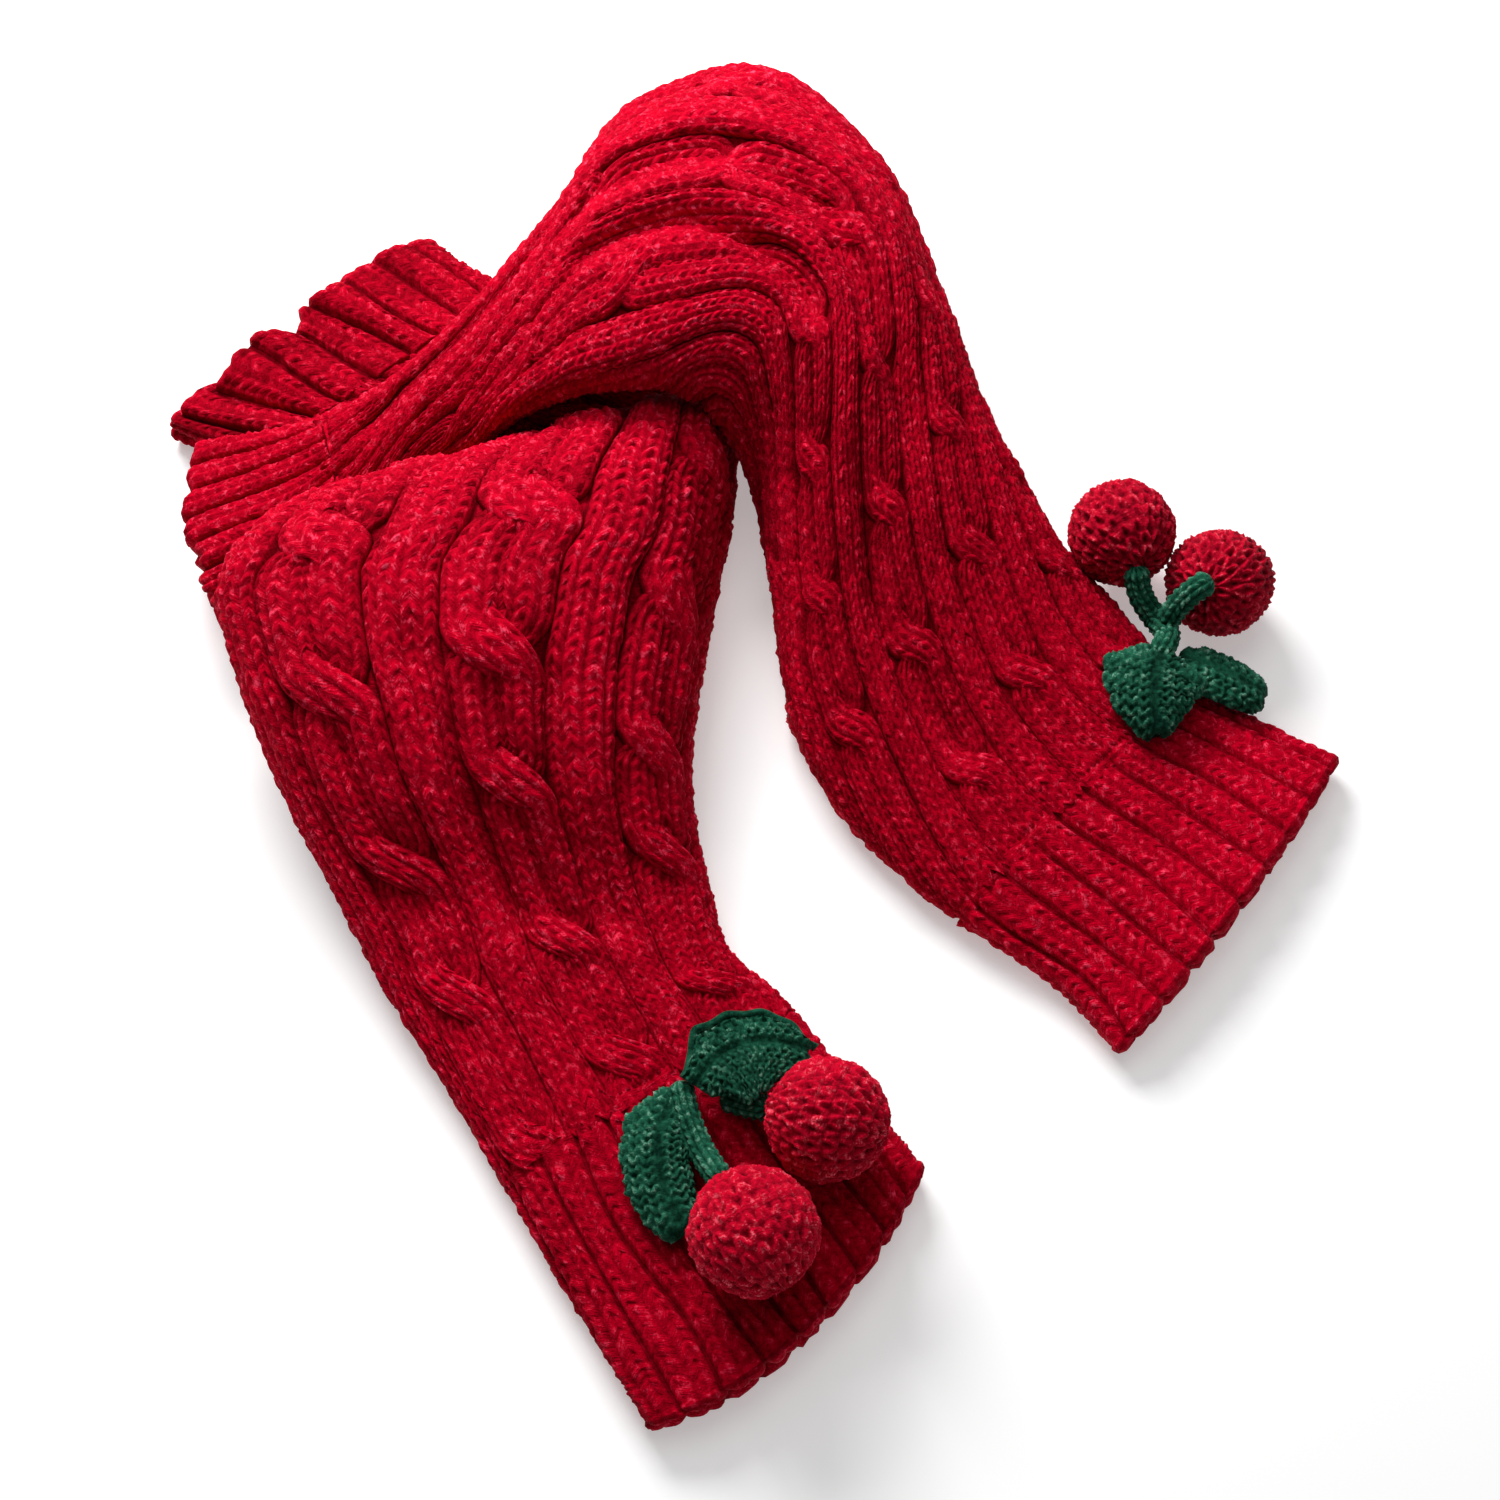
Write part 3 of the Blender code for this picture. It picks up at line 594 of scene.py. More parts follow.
def knitted(leg, start, end, columns, plump, hems=(False, False), inner_rows=14, ruffle=0.0):
    """A stretch of knitted tube as one closed wall, stitch by stitch on its right side."""
    joined = not any(hems)
    unlike, swaying = LEG_UNEVEN if joined else CUFF_UNEVEN
    lap = LEG_LAP if joined else LAP
    start, end = start - (0.0 if hems[0] else lap), end + (0.0 if hems[1] else lap)
    columns = thin_out(leg, columns, start, end)
    columns.append(columns[0]._replace(unit=columns[0].unit + ROUND))
    unit, across, stitch, deep, relief = (np.array(values)[None, :] for values in zip(*columns))
    number, row, along, fade = stitch_rows(leg, start, end, across, relief, 0.0 if joined else 1.2)
    step = (row + 0.5) % 1.0
    luck = np.random.default_rng(11)
    chance = luck.uniform(*SWELL, (number + 3, MOST_STITCHES))
    which = of_stitch(row, stitch)
    swell = chance[which]
    inside_it = np.sin(np.pi * across) * np.sin(np.pi * step) * relief
    along = along + luck.normal(0.0, 0.45, chance.shape)[which] * inside_it * fade
    aside = luck.normal(0.0, 0.09, chance.shape)[which] * inside_it
    here = leg.relief_at(along)
    height = stitch_height(across, step, swell, here.steps) * relief
    seam = near_ends(along, start, end)
    uneven = 1 + unlike * ripple(row * 0.14, unit * 0.45, start + 9)
    ground = (deep * (1 - seam) + RIB_DEPTH * rib_profile(unit) * seam) * here.valleys * uneven
    depth = ground - plump * here.stitches * height - 0.6 * ripple(row * 0.35, unit * 0.5, start)
    depth = depth + luck.normal(0.0, ROUGH, depth.shape)
    if ruffle:
        wave = np.sin(unit * 2 * math.pi / 9.0 + 0.6 * row / number)
        wave = wave * (0.75 + 0.5 * ripple(0 * row, unit * 0.4, 5.0))
        depth = depth - ruffle * wave * smooth(0.0, 0.6, row / number)
    if joined:
        depth = depth - 0.05 * seam
    sway = (swaying + 0.10 * seam + 0.15 * ruffle) * ripple(row * 0.4, unit * 0.6, start + 3) + aside
    outside = leg.place(along, unit + sway, depth)
    outside[:, -1] = outside[:, 0]
    # painted shade in the valleys, on the purl ground and beside the stitch legs, then a random tone for each
    # stitch
    dark = darkness(ground, 0.9, height, relief, here)
    dark = dark + luck.normal(0.0, 0.13, chance.shape)[which] * inside_it
    inside = leg.lining(np.linspace(end, start, inner_rows + 1)[:, None] + 0 * unit, unit)
    rounded = 0.7 + np.abs(np.sin(np.pi * across[0])) ** 0.8 * relief[0] + 1.5 * (1 - rib_profile(unit[0]))
    rims = []
    for edge, before, inner_edge, hem in (
        (outside[-1], outside[-2 * STEPS], inside[0], hems[1]),
        (outside[0], outside[2 * STEPS], inside[-1], hems[0]),
    ):
        away = of_length_one(edge - before)
        bulge = rounded if hem else 0.1 + 0 * across[0]
        rim = []
        for angle in RIM_TURN:
            over = (1 - math.cos(angle)) / 2
            rim.append(edge * (1 - over) + inner_edge * over + away * (bulge * math.sin(angle))[:, None])
        rim = np.array(rim)
        rim[..., 2] = np.maximum(rim[..., 2], CLEAR)
        rims.append(rim)
    rings = [outside, rims[0], inside, rims[1][::-1], outside[:1]]
    # the rims and the lining get an even painted shade
    shade = [dark, *(np.full(ring.shape[:2], 0.35) for ring in rings[1:-1]), dark[:1]]
    pattern = fibres_of(unit, row, stitch)
    extra = sum(len(ring) for ring in rings[1:])
    tail = np.repeat(pattern[-1:], extra, axis=0)
    tail[..., 1] += np.arange(1, extra + 1)[:, None] * 0.7
    tail[-1] = pattern[0]
    crisp = ([] if hems[0] else [0]) + ([] if hems[1] else [len(outside) - 1])
    pattern = np.concatenate([pattern, tail])
    return tube_mesh(np.concatenate(rings), pattern, np.concatenate(shade), crisp=crisp)


def cable_strand(leg, start, end, centre, crossings, which, plump):
    """One of a cable's two strands, three stitches wide, which pass over and under each other."""
    wide = 3 * COLUMNS
    share = np.concatenate([np.linspace(-1, 1, wide + 1), [0.8, 0.0, -0.8], [-1.0]])[None, :]
    top = np.concatenate([np.ones(wide + 1), np.zeros(3), [1.0]])[None, :]
    across = np.concatenate([(np.arange(wide + 1) % COLUMNS) / COLUMNS, np.zeros(4)])[None, :]
    stitch = np.append(np.minimum(np.arange(wide + 1) // COLUMNS, 2), np.zeros(4)).astype(int)[None, :]
    number, row, along, _ = stitch_rows(leg, start, end, across, top, 1.0)
    span = CROSSING_SPAN * (np.gradient(along[:, :1], axis=0) * STEPS)
    passed = np.zeros_like(along)
    over = np.zeros_like(along)
    pushed = np.zeros_like(along)
    for index, place in enumerate(crossings):
        done = np.clip((along - place) / span + 0.5, 0, 1)
        passed += done
        if (index + which) % 2 == 0:
            over += np.sin(np.pi * done) ** 0.8
        else:
            pushed += np.exp(-((along - place) / (span * 0.62)) ** 2)
    swing = CABLE_HALF / 2
    offset = -np.cos(np.pi * (passed + which)) * swing
    width = leg.unit_width(along)
    ahead = np.gradient(offset[:, 0]) / np.maximum(np.gradient(along[:, 0]), 0.05)
    lean = np.arctan(ahead[:, None] * width) * 0.9
    half = swing * 1.10 * (1 + 0.16 * over)
    bent = np.sin(share * CABLE_TURN) / math.sin(CABLE_TURN)
    unit = centre + offset + half * bent * np.cos(lean)
    placed = along - bent * half * width * np.sin(lean) * 0.8
    here = leg.relief_at(along)
    seam = near_ends(along, start, end)
    crown = 0.35 + (-1.9 * over + 2.3 * pushed) * here.crossings * (1 - seam)
    side = ((GROUND - 0.2) * (1 - seam) + RIB_DEPTH * seam) * here.valleys - 1.3 * over * here.crossings
    crown = np.minimum(crown, side - 0.7)
    luck = np.random.default_rng(int(centre * 10) + which)
    swell = luck.uniform(*SWELL, (number + 3, 3))[of_stitch(row, stitch)]
    height = stitch_height(across, (row + 0.5) % 1.0, swell, here.steps) * top
    ground = side - (side - crown) * (1 - np.abs(share) ** 2.6)
    depth = np.where(top > 0, ground - plump * here.stitches * height, side + 1.0)
    depth = depth - 0.4 * ripple(row * 0.35, unit * 0.5, start) + luck.normal(0.0, ROUGH, depth.shape)
    depth = depth + 1.6 * smooth(2.2, 0.3, np.minimum(along - start, end - along))
    points = leg.place(placed, unit, depth)
    points[:, -1] = points[:, 0]
    # painted shade where a strand dives under the other and painted light where it passes over; its hidden
    # underside is painted dark
    dark = darkness(ground, 0.85, height, 1.0, here) + (0.30 * pushed - 0.10 * over) * here.crossings
    dark = np.where(top > 0, np.clip(dark, 0, 1), 0.9)
    return tube_mesh(points, fibres_of(unit, row, stitch), dark, capped=True)


# ---- materials ----
def feed(tree, places, values):
    """Gives each input its value: a socket to be linked to, a number or a colour."""
    for place, value in zip(places, values):
        if isinstance(value, bpy.types.NodeSocket):
            tree.links.new(value, place)
        else:
            place.default_value = value


def feed_named(tree, node, values):
    """Gives a node's inputs their values by name."""
    feed(tree, (node.inputs[name] for name in values), values.values())


def maths(tree, operation, first, second, clamp=False):
    """A maths node fed with sockets or numbers."""
    node = tree.nodes.new("ShaderNodeMath")
    node.operation = operation
    node.use_clamp = clamp
    feed(tree, node.inputs, (first, second))
    return node.outputs[0]


def weighted(tree, terms, middle=0.0):
    """The sum of some values, each counted from the middle and times its weight."""
    total = None
    for value, weight in terms:
        value = maths(tree, "SUBTRACT", value, middle) if middle else value
        term = maths(tree, "MULTIPLY", value, weight)
        total = term if total is None else maths(tree, "ADD", total, term)
    return total


def blend(tree, factor, first, second):
    """A colour mix fed with sockets or colours."""
    node = tree.nodes.new("ShaderNodeMix")
    node.data_type = "RGBA"
    node.clamp_factor = True
    feed(tree, (node.inputs[0], node.inputs[6], node.inputs[7]), (factor, first, second))
    return node.outputs[2]


def speckle(tree, vector, scale, detail, rough):
    """A noise fed with a vector."""
    node = tree.nodes.new("ShaderNodeTexNoise")
    feed_named(tree, node, {"Vector": vector, "Scale": scale, "Detail": detail, "Roughness": rough})
    return node.outputs["Fac"]


def stretched(tree, vector, scale):
    """The vector scaled along each axis."""
    node = tree.nodes.new("ShaderNodeMapping")
    feed_named(tree, node, {"Vector": vector, "Scale": scale})
    return node.outputs["Vector"]


def yarn_group():
    """Brushed yarn: fibres along each stitch leg, painted shade in hollows, painted highlights on fibres."""
    tree = bpy.data.node_groups.new("brushed yarn", "ShaderNodeTree")
    for name, kind in (
        ("Stitches", "Vector"), ("Place", "Vector"), ("Painted Shade And Tone", "Float"), ("Yarn", "Color"),
        ("Shade", "Color"), ("Painted Highlight", "Color"), ("Bare", "Float"), ("Color", "Color"), ("Height", "Float"),
    ):
        way = "OUTPUT" if name in ("Color", "Height") else "INPUT"
        tree.interface.new_socket(name=name, in_out=way, socket_type="NodeSocket" + kind)
    inside = tree.nodes.new("NodeGroupInput").outputs
    out = tree.nodes.new("NodeGroupOutput").inputs
    fibres = speckle(tree, stretched(tree, inside["Stitches"], (1.1, 5.0, 1.0)), 1.6, 3.0, 0.6)
    fuzz = speckle(tree, inside["Place"], 1500.0, 3.0, 0.7)
    tufts = speckle(tree, inside["Place"], 400.0, 3.0, 0.6)
    broad = speckle(tree, inside["Place"], 45.0, 2.0, 0.5)
    mottle = weighted(tree, ((fibres, 1.1), (tufts, 1.7), (broad, 0.5)), middle=0.5)
    # painted shade from the attribute, broken up by a random mottle of the yarn
    dark = maths(tree, "SUBTRACT", inside["Painted Shade And Tone"], mottle, clamp=True)
    colour = blend(tree, dark, inside["Yarn"], inside["Shade"])
    # painted highlights: specks of the highlight colour, kept out of the painted shade
    highlight_noise = weighted(tree, ((fibres, 0.25), (fuzz, 0.25), (tufts, 0.5)))
    light = maths(tree, "MULTIPLY", maths(tree, "SUBTRACT", highlight_noise, inside["Bare"]), 14.0, clamp=True)
    bare = maths(tree, "SUBTRACT", 0.95, maths(tree, "MULTIPLY", inside["Painted Shade And Tone"], 1.5), clamp=True)
    colour = blend(tree, maths(tree, "MULTIPLY", light, bare), colour, inside["Painted Highlight"])
    height = weighted(tree, ((fibres, 0.6), (fuzz, 0.5)))
    feed(tree, (out["Color"], out["Height"]), (colour, height))
    return tree


def yarn(name, colour, shade, painted_highlight, bare, sheen):
    """A knitted yarn of one dyed colour, with painted shade and highlights; bare is how rarely the highlights
    show.
    """
    made = bpy.data.materials.new(name)
    made.use_nodes = True
    tree = made.node_tree
    shader = tree.nodes["Principled BSDF"]
    group = tree.nodes.new("ShaderNodeGroup")
    group.node_tree = bpy.data.node_groups.get("brushed yarn") or yarn_group()
    stitches = tree.nodes.new("ShaderNodeAttribute")
    stitches.attribute_name = "stitches"
    painted_shade_and_tone = tree.nodes.new("ShaderNodeAttribute")
    painted_shade_and_tone.attribute_name = "painted_shade_and_tone"
    place = tree.nodes.new("ShaderNodeTexCoord")
    feed_named(tree, group, {
        "Stitches": stitches.outputs["Vector"], "Place": place.outputs["Object"],
        "Painted Shade And Tone": painted_shade_and_tone.outputs["Fac"], "Bare": bare,
        "Yarn": (*colour, 1.0), "Shade": (*shade, 1.0), "Painted Highlight": (*painted_highlight, 1.0),
    })
    bump = tree.nodes.new("ShaderNodeBump")
    feed_named(tree, bump, {"Strength": 1.0, "Distance": 0.0008, "Height": group.outputs["Height"]})
    # the painted highlight colour also tints the real specular and sheen
    feed_named(tree, shader, {
        "Base Color": group.outputs["Color"], "Normal": bump.outputs["Normal"], "Roughness": 0.7,
        "Specular IOR Level": 0.06, "Specular Tint": (*painted_highlight, 1.0),
        "Sheen Weight": sheen, "Sheen Roughness": 0.45, "Sheen Tint": (*painted_highlight, 1.0),
    })
    return made


# ---- trimmings ----
def crochet_stitch(across, step):
    """One crochet stitch: the height of its two spreading legs, and the small hole beside them."""
    spread = 0.08 + 0.34 * step
    legs = np.maximum(*(np.exp(-((across - 0.5 + side * spread) / 0.17) ** 2) for side in (-1, 1)))
    legs = legs * np.clip(np.sin(np.pi * (0.08 + 0.84 * step)), 0, 1) ** 0.5
    hole = np.exp(-((0.5 - np.abs(across - 0.5)) / 0.16) ** 2 - ((step - 0.22) / 0.24) ** 2)
    return legs, hole


def crocheted_ball(centre, radius, pole, nap, plump):
    """A stuffed ball worked in rounds from its pole, with a small hole between one stitch and the next."""
    rounds, widest = 12, 23     # the ball's rounds, and the stitches of the widest one
    most = 40                   # more than any round's stitches
    steps, turns = 7, 184       # mesh rows to a round, and mesh columns
    theta = np.linspace(0.0, math.pi, rounds * steps + 1)[:, None]
    phi = np.linspace(0.0, 2 * math.pi, turns + 1)[None, :]
    level = theta / math.pi * rounds + 0 * phi
    tier = np.minimum(np.floor(level), rounds - 1)
    step = level - tier
    number = np.maximum(np.round(widest * np.sin((tier + 0.5) / rounds * math.pi)), 6)
    across = (phi / (2 * math.pi) * number + 0.5 * (tier % 2)) % 1.0
    legs, hole = crochet_stitch(across, step)
    luck = np.random.default_rng(int(radius * 10))
    which = (tier.astype(int), np.floor(phi / 2 / math.pi * number).astype(int) % most)
    legs = legs * luck.uniform(0.55, 1.3, (rounds, most))[which]
    hole = hole * luck.uniform(0.2, 0.95, (rounds, most))[which]
    wave = 0.25 * ripple(phi * 3.0, theta * 4.0, radius)
    wave = wave + (0.25 * ripple(phi * 0 + 6 * math.pi, theta * 4.0, radius) - wave) * smooth(5.2, 6.2, phi)
    reach = radius - 0.9 + plump * legs - 0.8 * hole + wave * np.sin(theta)
    reach = reach + luck.normal(0.0, 0.13, legs.shape)
    axis = Vector(pole).normalized()
    turn = np.array(Vector((0, 0, 1)).rotation_difference(axis).to_matrix())
    ball = np.stack([np.sin(theta) * np.cos(phi), np.sin(theta) * np.sin(phi), np.cos(theta) + 0 * phi], -1)
    points = np.array(centre) + (ball @ turn.T) * reach[..., None]
    points[:, -1] = points[:, 0]
    points[0], points[-1] = points[0, 0], points[-1, 0]
    # painted shade in the holes and between the stitch legs, plus the painted shade set for the ball
    dark = np.clip(0.65 * hole + 0.5 * (1 - legs) + nap, 0, 1)
    return tube_mesh(points, fibres_of(across + tier * 3 + phi * 4, level, tier), dark)


def knitted_cord(route):
    """A cord knitted in the round."""
    columns, turns, runs = 5, 40, 14    # columns of stitches, columns of the mesh, and its rows to a point
    points = np.array(route, float)
    knots = travelled(points)
    line = spline(knots, points, np.linspace(0.0, knots[-1], runs * (len(points) - 1) + 1))
    ahead = of_length_one(np.gradient(line, axis=0))
    side = of_length_one(np.cross(ahead, [0.0, 0.0, 1.0]))
    up = np.cross(side, ahead)
    travel = travelled(line)[:, None]
    phi = np.linspace(0.0, 2 * math.pi, turns + 1)[None, :]
    across = (phi / (2 * math.pi) * columns) % 1.0
    lift = (0.5 - np.abs(across - 0.5)) * 1.6
    step = (travel / CORD_ROW + lift) % 1.0
    height = np.sin(np.pi * np.abs(2 * across - 1)) ** 0.7 * np.sin(np.pi * step) ** 0.7
    ends = np.sqrt(np.clip(np.minimum(travel, travel[-1] - travel) / 1.6, 0.12, 1.0))
    reach = (CORD_RADIUS - 0.7 + CORD_STITCH * height) * ends
    points = line[:, None, :]
    for way, amount in ((side, np.cos(phi)), (up, np.sin(phi))):
        points = points + way[:, None, :] * (amount * reach)[..., None]
    points[:, -1] = points[:, 0]
    pattern = fibres_of(phi * 1.2, travel / CORD_ROW + lift, 0.0)
    # painted shade between the stitches of the cord
    return tube_mesh(points, pattern, 0.15 + 0.6 * (1 - height), capped=True)


def solid_trees():
    """The knitted solids, to keep a leaf clear of the ribs that it lies on."""
    trees = []
    for name in ("crossing_lower_cuff", "crossing_leg_lower", "front_lower_cuff", "front_leg_lower"):
        mesh = bpy.data.objects[name].data
        faces = [tuple(face.vertices) for face in mesh.polygons]
        trees.append(BVHTree.FromPolygons([vert.co for vert in mesh.vertices], faces))
    return trees


def crocheted_leaf(trees, base, middle, tip, half_width, droop, roll, curl, blunt):
    """A pointed crocheted leaf bent along its midrib, worked in slanting rows out from it."""
    long, wide = 84, 44     # mesh rows and columns
    length = (Vector(middle) - Vector(base)).length + (Vector(tip) - Vector(middle)).length
    luck = np.random.default_rng(int(length * 10))
    base, middle, tip = (Vector(place) for place in (base, middle, tip))
    upper = np.zeros((long + 1, wide + 1, 3))
    height = np.zeros((long + 1, wide + 1))
    for i in range(long + 1):
        t = i / long
        rib = base * (1 - t) ** 2 + middle * 2 * t * (1 - t) + tip * t * t
        heading = ((middle - base) * (1 - t) + (tip - middle) * t).normalized()
        side = heading.cross(Vector((0, 0, 1))).normalized()
        up = side.cross(heading)
        angle = math.radians(roll)
        outline = max(1 - t ** blunt, 0.0) ** (1.3 / math.sqrt(blunt))
        outline = (0.35 + 0.65 * float(smooth(0.0, 0.3, t))) * outline
        half = half_width * max(outline, 0.03) * (1 + 0.04 * math.sin(t * 30))
        for j in range(wide + 1):
            across = 2 * j / wide - 1
            reach, rise = across * half, 0.0
            if across < -0.5 and curl:
                whole = math.radians(curl) * max(math.sin(math.pi * t), 0.05) ** 0.5
                bend = whole * (-across - 0.5) / 0.5
                arc = 0.5 * half / whole
                reach, rise = -0.5 * half - arc * math.sin(bend), arc * (1 - math.cos(bend))
            place = rib + (side * math.cos(angle) + up * math.sin(angle)) * reach
            place += up * (rise - across * across * droop)
            lowest = 0.0
            x, y = (place.x - MIDDLE[0]) * MM, (place.y - MIDDLE[1]) * MM
            for tree in trees:
                hit = tree.ray_cast(Vector((x, y, 1.0)), Vector((0, 0, -1)))[0]
                if hit:
                    lowest = max(lowest, hit.z / MM)
            place.z = max(place.z, lowest + 0.5)
            upper[i, j] = place
            slant = (t * length / 2.7 + abs(across) * 1.2) % 1.0
            rowed = (abs(across) * half / 2.9 + 0.05) % 1.0
            legs, hole = crochet_stitch(rowed, slant)
            rib_line = math.exp(-(across * half / 0.9) ** 2)
            height[i, j] = LEAF_STITCH * ((legs - 0.5 * hole) * (1 - rib_line) - 0.5 * rib_line)
    normal = of_length_one(np.cross(np.gradient(upper, axis=1), np.gradient(upper, axis=0)), 1e-9)
    normal *= -1.0 if normal[long // 2, wide // 2, 2] < 0 else 1.0
    which = (np.arange(long + 1)[:, None] // 3, np.arange(wide + 1)[None, :] // 3)
    height = height * luck.uniform(0.6, 1.25, (30, 16))[which]
    height = height + luck.normal(0.0, 0.10, height.shape)
    share = np.abs(np.linspace(-1, 1, wide + 1))[None, :] ** 5
    ends = np.abs(np.linspace(-1, 1, long + 1))[:, None] ** 16
    full = LEAF_THICK * np.sqrt(np.clip(1 - np.maximum(share, ends) * 0.96, 0.02, 1))
    top = upper + normal * (LEAF_THICK / 2 + full / 2 + height)[..., None]
    bottom = upper + normal * (LEAF_THICK / 2 - full / 2)[..., None]
    points = np.concatenate([top, bottom[:, ::-1], top[:, :1]], axis=1)
    # painted shade between the stitches and along the midrib, and an even painted shade on the underside
    dark = 0.10 + 0.65 * (1 - np.clip(height / LEAF_STITCH, 0, 1))
    shade = np.concatenate([dark, 0 * dark + 0.7, dark[:, :1]], axis=1)
    lengthwise = np.linspace(0, long / 3.0, long + 1)[:, None]
    sideways = np.concatenate([np.arange(wide + 1), np.arange(wide + 1)[::-1], [0]])[None, :] / 3.0
    return tube_mesh(points, fibres_of(sideways, lengthwise, 0.0), shade, capped=True)


def soft_light(name, size, power, place):
    """A large soft lamp that faces the pair."""
    data = bpy.data.lights.new(name, "AREA")
    data.shape = "RECTANGLE"
    data.size, data.size_y = size
    data.energy = power
    lamp = new_object(name, data)
    lamp.location = place
    lamp.rotation_euler = (Vector() - Vector(place)).to_track_quat("-Z", "Y").to_euler()


# ---- settings ----
def colour_choice(name, description, default):
    """A colour to choose."""
    return FloatVectorProperty(
        name=name, description=description, subtype="COLOR", default=default, min=0, max=1,
    )


def stands_out(name, description, default, most):
    """A height to choose, in millimetres."""
    return FloatProperty(name=name, description=description, default=default, min=0.2, max=most)


class LegWarmerYarns(bpy.types.PropertyGroup):
    """The dyed colour of each yarn, and the colours of the red yarn's painted shade and painted highlights.
    """

    red: colour_choice("Red yarn", "Dye of the knitted tubes", (0.60, 0.0, 0.018))
    # the next two colours are the red yarn's painted shade in the hollows and its painted highlights
    red_shade: colour_choice("Red in the hollows", "The same yarn deep between stitches", (0.17, 0.0, 0.004))
    red_painted_highlight: colour_choice("Red flecks", "Fibres that catch the light", (1.0, 0.07, 0.15))
    cherry: colour_choice("Cherry yarn", "Dye of the crocheted balls", (0.62, 0.002, 0.024))
    green: colour_choice("Green yarn", "Dye of the leaves and stems", (0.022, 0.175, 0.098))


class LegWarmerKnitting(bpy.types.PropertyGroup):
    """How plump the stitches are."""

    stitch: stands_out("Stitch height", "How far a stitch stands out, in millimetres", 1.6, 2.5)
    crochet: stands_out("Crochet height", "The same for the cherries, in millimetres", 1.2, 2.0)


def yarn_material(name):
    """The material of a slot, made on first use."""
    found = bpy.data.materials.get("knitted " + name)
    if found:
        return found
    yarn_colours = bpy.context.scene.leg_warmer_yarns
    # the dyed colour, its painted shade in the hollows, its painted highlights, how rare they are, and the
    # sheen
    looks = {
        "red": (yarn_colours.red, yarn_colours.red_shade, yarn_colours.red_painted_highlight, 0.537, 0.03),
        "cherry": (yarn_colours.cherry, (0.10, 0.0, 0.004), (1.0, 0.16, 0.22), 0.54, 0.08),
        "green": (yarn_colours.green, (0.001, 0.020, 0.011), (0.34, 0.60, 0.46), 0.522, 0.05),
    }
    return yarn("knitted " + name, *looks[name])


def knit_leg_warmer(prefix, leg, upper_section, cables, ruffle):
    """One leg warmer: its two cuffs, its leg and the cables on it."""
    leg_nodes = [f"{prefix}_leg_{part}" for part in ("lower", "middle", "upper")]
    knit = bpy.context.scene.leg_warmer_knitting
    red = yarn_material("red")
    low, high = leg.along("rib_top"), leg.along(upper_section)
    for part, start, end, hems, waves in (
        ("lower_cuff", 0.0, low, (True, False), 0.0), ("upper_cuff", high, leg.length, (False, True), ruffle),
    ):
        bm = knitted(leg, start, end, rib_columns(), knit.stitch, hems, 4, ruffle=waves)
        piece = as_piece(f"{prefix}_{part}_ribs", [bm], red)
        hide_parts(f"{prefix}_{part}")
    bm = knitted(leg, low, high, cabled_columns(), knit.stitch)
    body = as_piece(f"{prefix}_leg_knitting", [bm], red)
    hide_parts(*leg_nodes)
    strands = []
    for repeat, crossings in cables:
        centre = repeat * REPEAT + CABLE
        for which in (0, 1):
            strands.append(cable_strand(leg, low, high, centre, crossings, which, knit.stitch))
    rope = as_piece(f"{prefix}_leg_cables", strands, red)


class LEGWARMERS_OT_crossing(bpy.types.Operator):
    """Knit the leg warmer that lies across the other"""

    bl_idname = "legwarmers.crossing"
    bl_label = "Crossing leg warmer"

    def execute(self, context):
        knit_leg_warmer("crossing", LegWarmer(*CROSSING), "fan", CROSSING_CABLES, 0.4)
        return {"FINISHED"}


class LEGWARMERS_OT_front(bpy.types.Operator):
    """Knit the leg warmer in front"""

    bl_idname = "legwarmers.front"
    bl_label = "Front leg warmer"

    def execute(self, context):
        knit_leg_warmer("front", LegWarmer(*FRONT), "upper_rib", FRONT_CABLES, 2.2)
        return {"FINISHED"}


class LEGWARMERS_OT_cherries(bpy.types.Operator):
    """Crochet the four stuffed cherries"""

    bl_idname = "legwarmers.cherries"
    bl_label = "Cherries"

    def execute(self, context):
        plump = context.scene.leg_warmer_knitting.crochet
        for name, centre, radius, pole, nap in CHERRIES:
            ball = crocheted_ball(centre, radius, pole, nap, plump)
            piece = as_piece(name + "_ball", [ball], yarn_material("cherry"))
            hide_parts(name)
        return {"FINISHED"}


class LEGWARMERS_OT_stems(bpy.types.Operator):
    """Knit the green stems"""

    bl_idname = "legwarmers.stems"
    bl_label = "Stems"

    def execute(self, context):
        for name, route in STEMS:
            piece = as_piece(name + "_cord", [knitted_cord(route)], yarn_material("green"))
            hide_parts(name)
        return {"FINISHED"}


class LEGWARMERS_OT_leaves(bpy.types.Operator):
    """Crochet the green leaves"""

    bl_idname = "legwarmers.leaves"
    bl_label = "Leaves"

    def execute(self, context):
        trees = solid_trees()
        for name, *form in LEAVES:
            piece = as_piece(name + "_crochet", [crocheted_leaf(trees, *form)], yarn_material("green"))
            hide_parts(name)
        return {"FINISHED"}


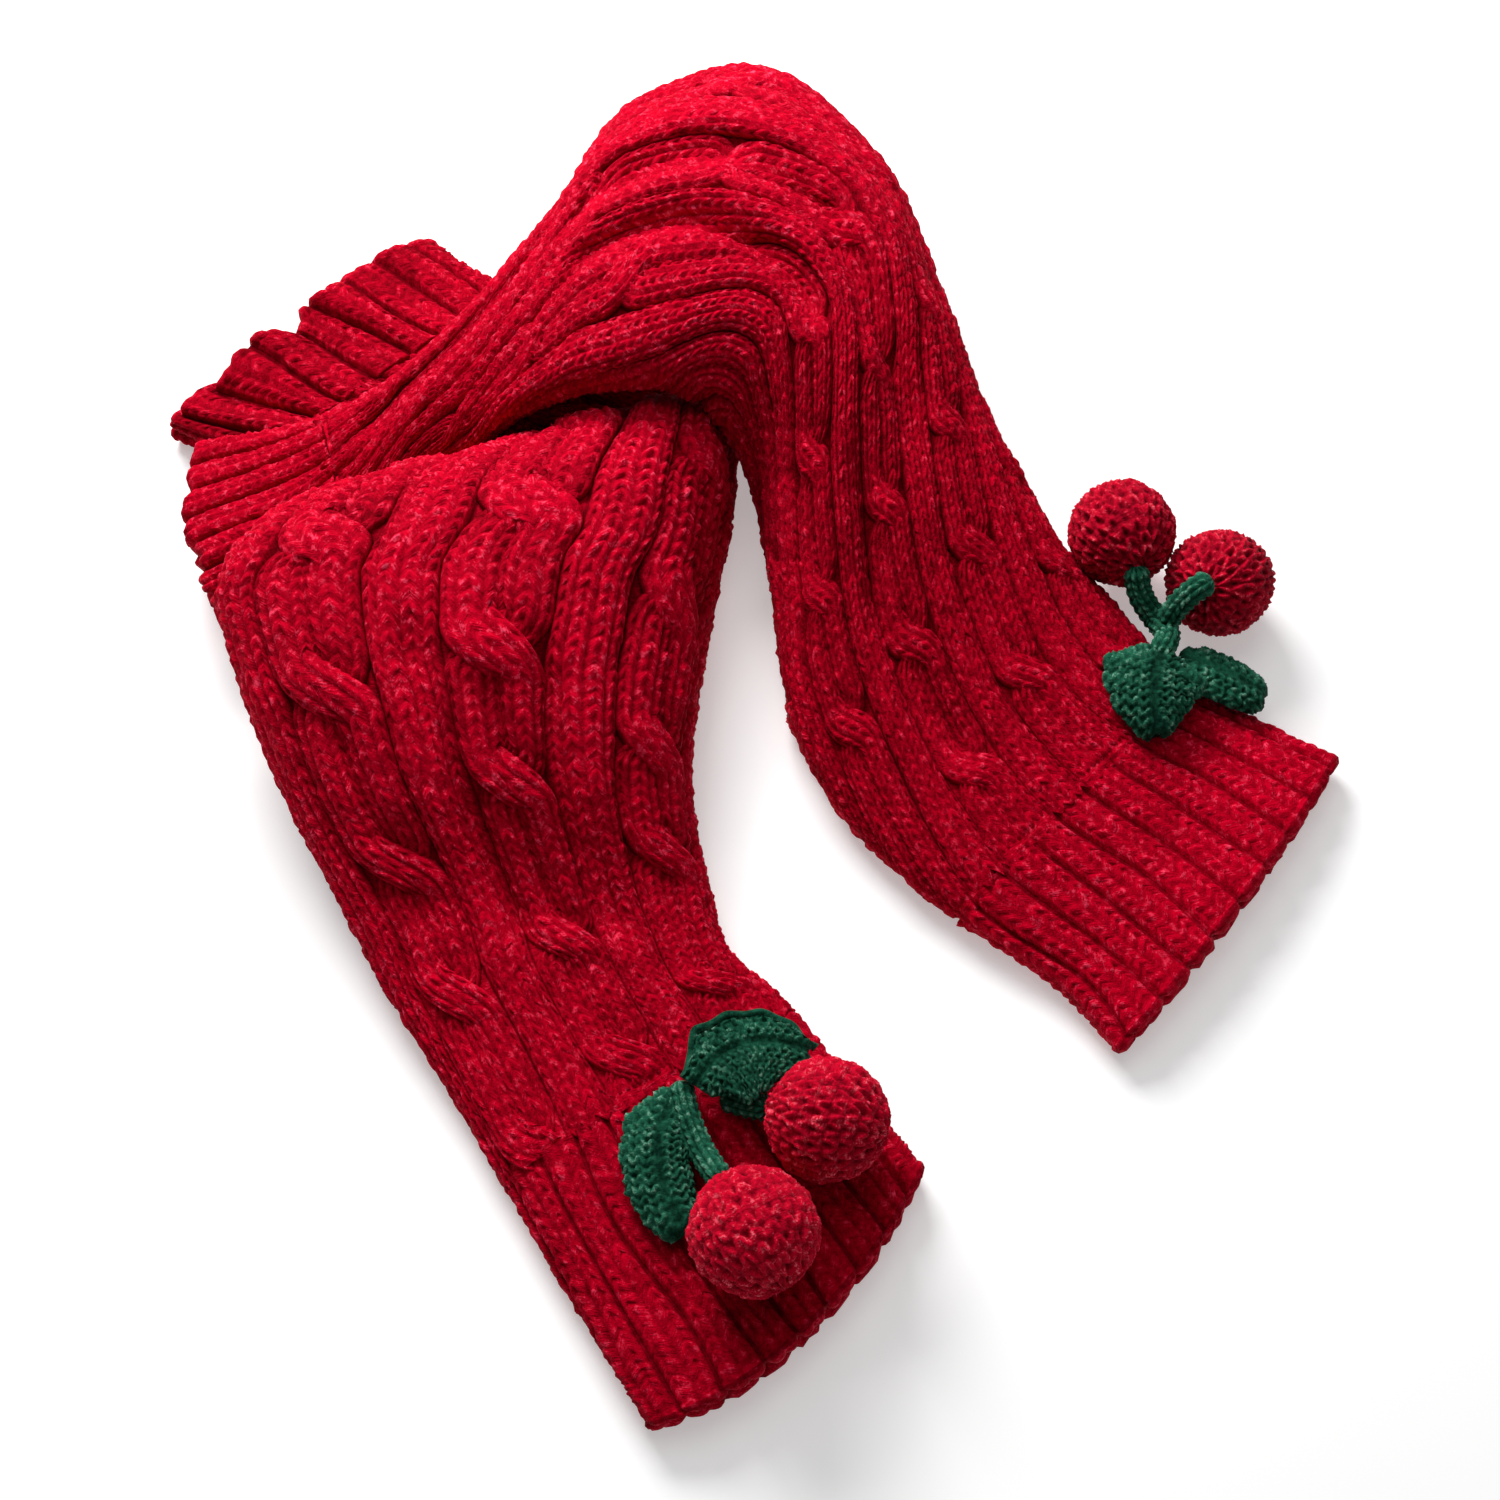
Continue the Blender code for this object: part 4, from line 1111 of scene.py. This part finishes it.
class LEGWARMERS_OT_stage(bpy.types.Operator):
    """Set out the floor, the lamps and the camera"""

    bl_idname = "legwarmers.stage"
    bl_label = "Stage"

    def execute(self, context):
        bm = bmesh.new()
        bmesh.ops.create_grid(bm, x_segments=1, y_segments=1, size=FLOOR_HALF)
        mesh = bpy.data.meshes.new("floor")
        bm.to_mesh(mesh)
        bm.free()
        paper = bpy.data.materials.new("pale paper")
        paper.use_nodes = True
        feed_named(paper.node_tree, paper.node_tree.nodes["Principled BSDF"], {
            "Base Color": (0.75, 0.75, 0.75, 1.0), "Roughness": 0.9,
            "Emission Color": WHITE, "Emission Strength": 0.35,
        })
        mesh.materials.append(paper)
        floor = new_object("floor", mesh)
        floor.location.z = -FLOOR_DROP
        world = bpy.data.worlds.new("studio")
        world.use_nodes = True
        background = world.node_tree.nodes["Background"]
        feed_named(world.node_tree, background, {"Color": WHITE, "Strength": 0.20})
        context.scene.world = world
        context.scene.view_settings.view_transform = "Standard"
        for lamp in LAMPS:
            soft_light(*lamp)
        data = bpy.data.cameras.new("camera")
        data.lens = 62.0
        data.sensor_width = 36.0
        camera = new_object("camera", data)
        camera.location = CAMERA
        camera.rotation_euler = (math.radians(CAMERA_TILT), 0.0, 0.0)
        context.scene.camera = camera
        return {"FINISHED"}


class LEGWARMERS_PT_panel(bpy.types.Panel):
    """The pieces of the pair and their settings"""

    bl_idname = "LEGWARMERS_PT_panel"
    bl_label = "Leg warmers"
    bl_space_type = "VIEW_3D"
    bl_region_type = "UI"
    bl_category = "Leg warmers"

    def draw(self, context):
        for settings in (context.scene.leg_warmer_yarns, context.scene.leg_warmer_knitting):
            for name in settings.__annotations__:
                self.layout.prop(settings, name)
        for made in OPERATORS:
            self.layout.operator(made.bl_idname)


OPERATORS = (
    LEGWARMERS_OT_stage, LEGWARMERS_OT_crossing, LEGWARMERS_OT_front,
    LEGWARMERS_OT_cherries, LEGWARMERS_OT_stems, LEGWARMERS_OT_leaves,
)
CLASSES = (LegWarmerYarns, LegWarmerKnitting, *OPERATORS, LEGWARMERS_PT_panel)


def register():
    for made in CLASSES:
        bpy.utils.register_class(made)
    bpy.types.Scene.leg_warmer_yarns = PointerProperty(type=LegWarmerYarns)
    bpy.types.Scene.leg_warmer_knitting = PointerProperty(type=LegWarmerKnitting)


def unregister():
    del bpy.types.Scene.leg_warmer_knitting
    del bpy.types.Scene.leg_warmer_yarns
    for made in reversed(CLASSES):
        bpy.utils.unregister_class(made)


def main():
    register()
    bpy.ops.legwarmers.stage()
    bpy.ops.legwarmers.crossing()
    bpy.ops.legwarmers.front()
    bpy.ops.legwarmers.cherries()
    bpy.ops.legwarmers.stems()
    bpy.ops.legwarmers.leaves()


if __name__ == "__main__":
    main()
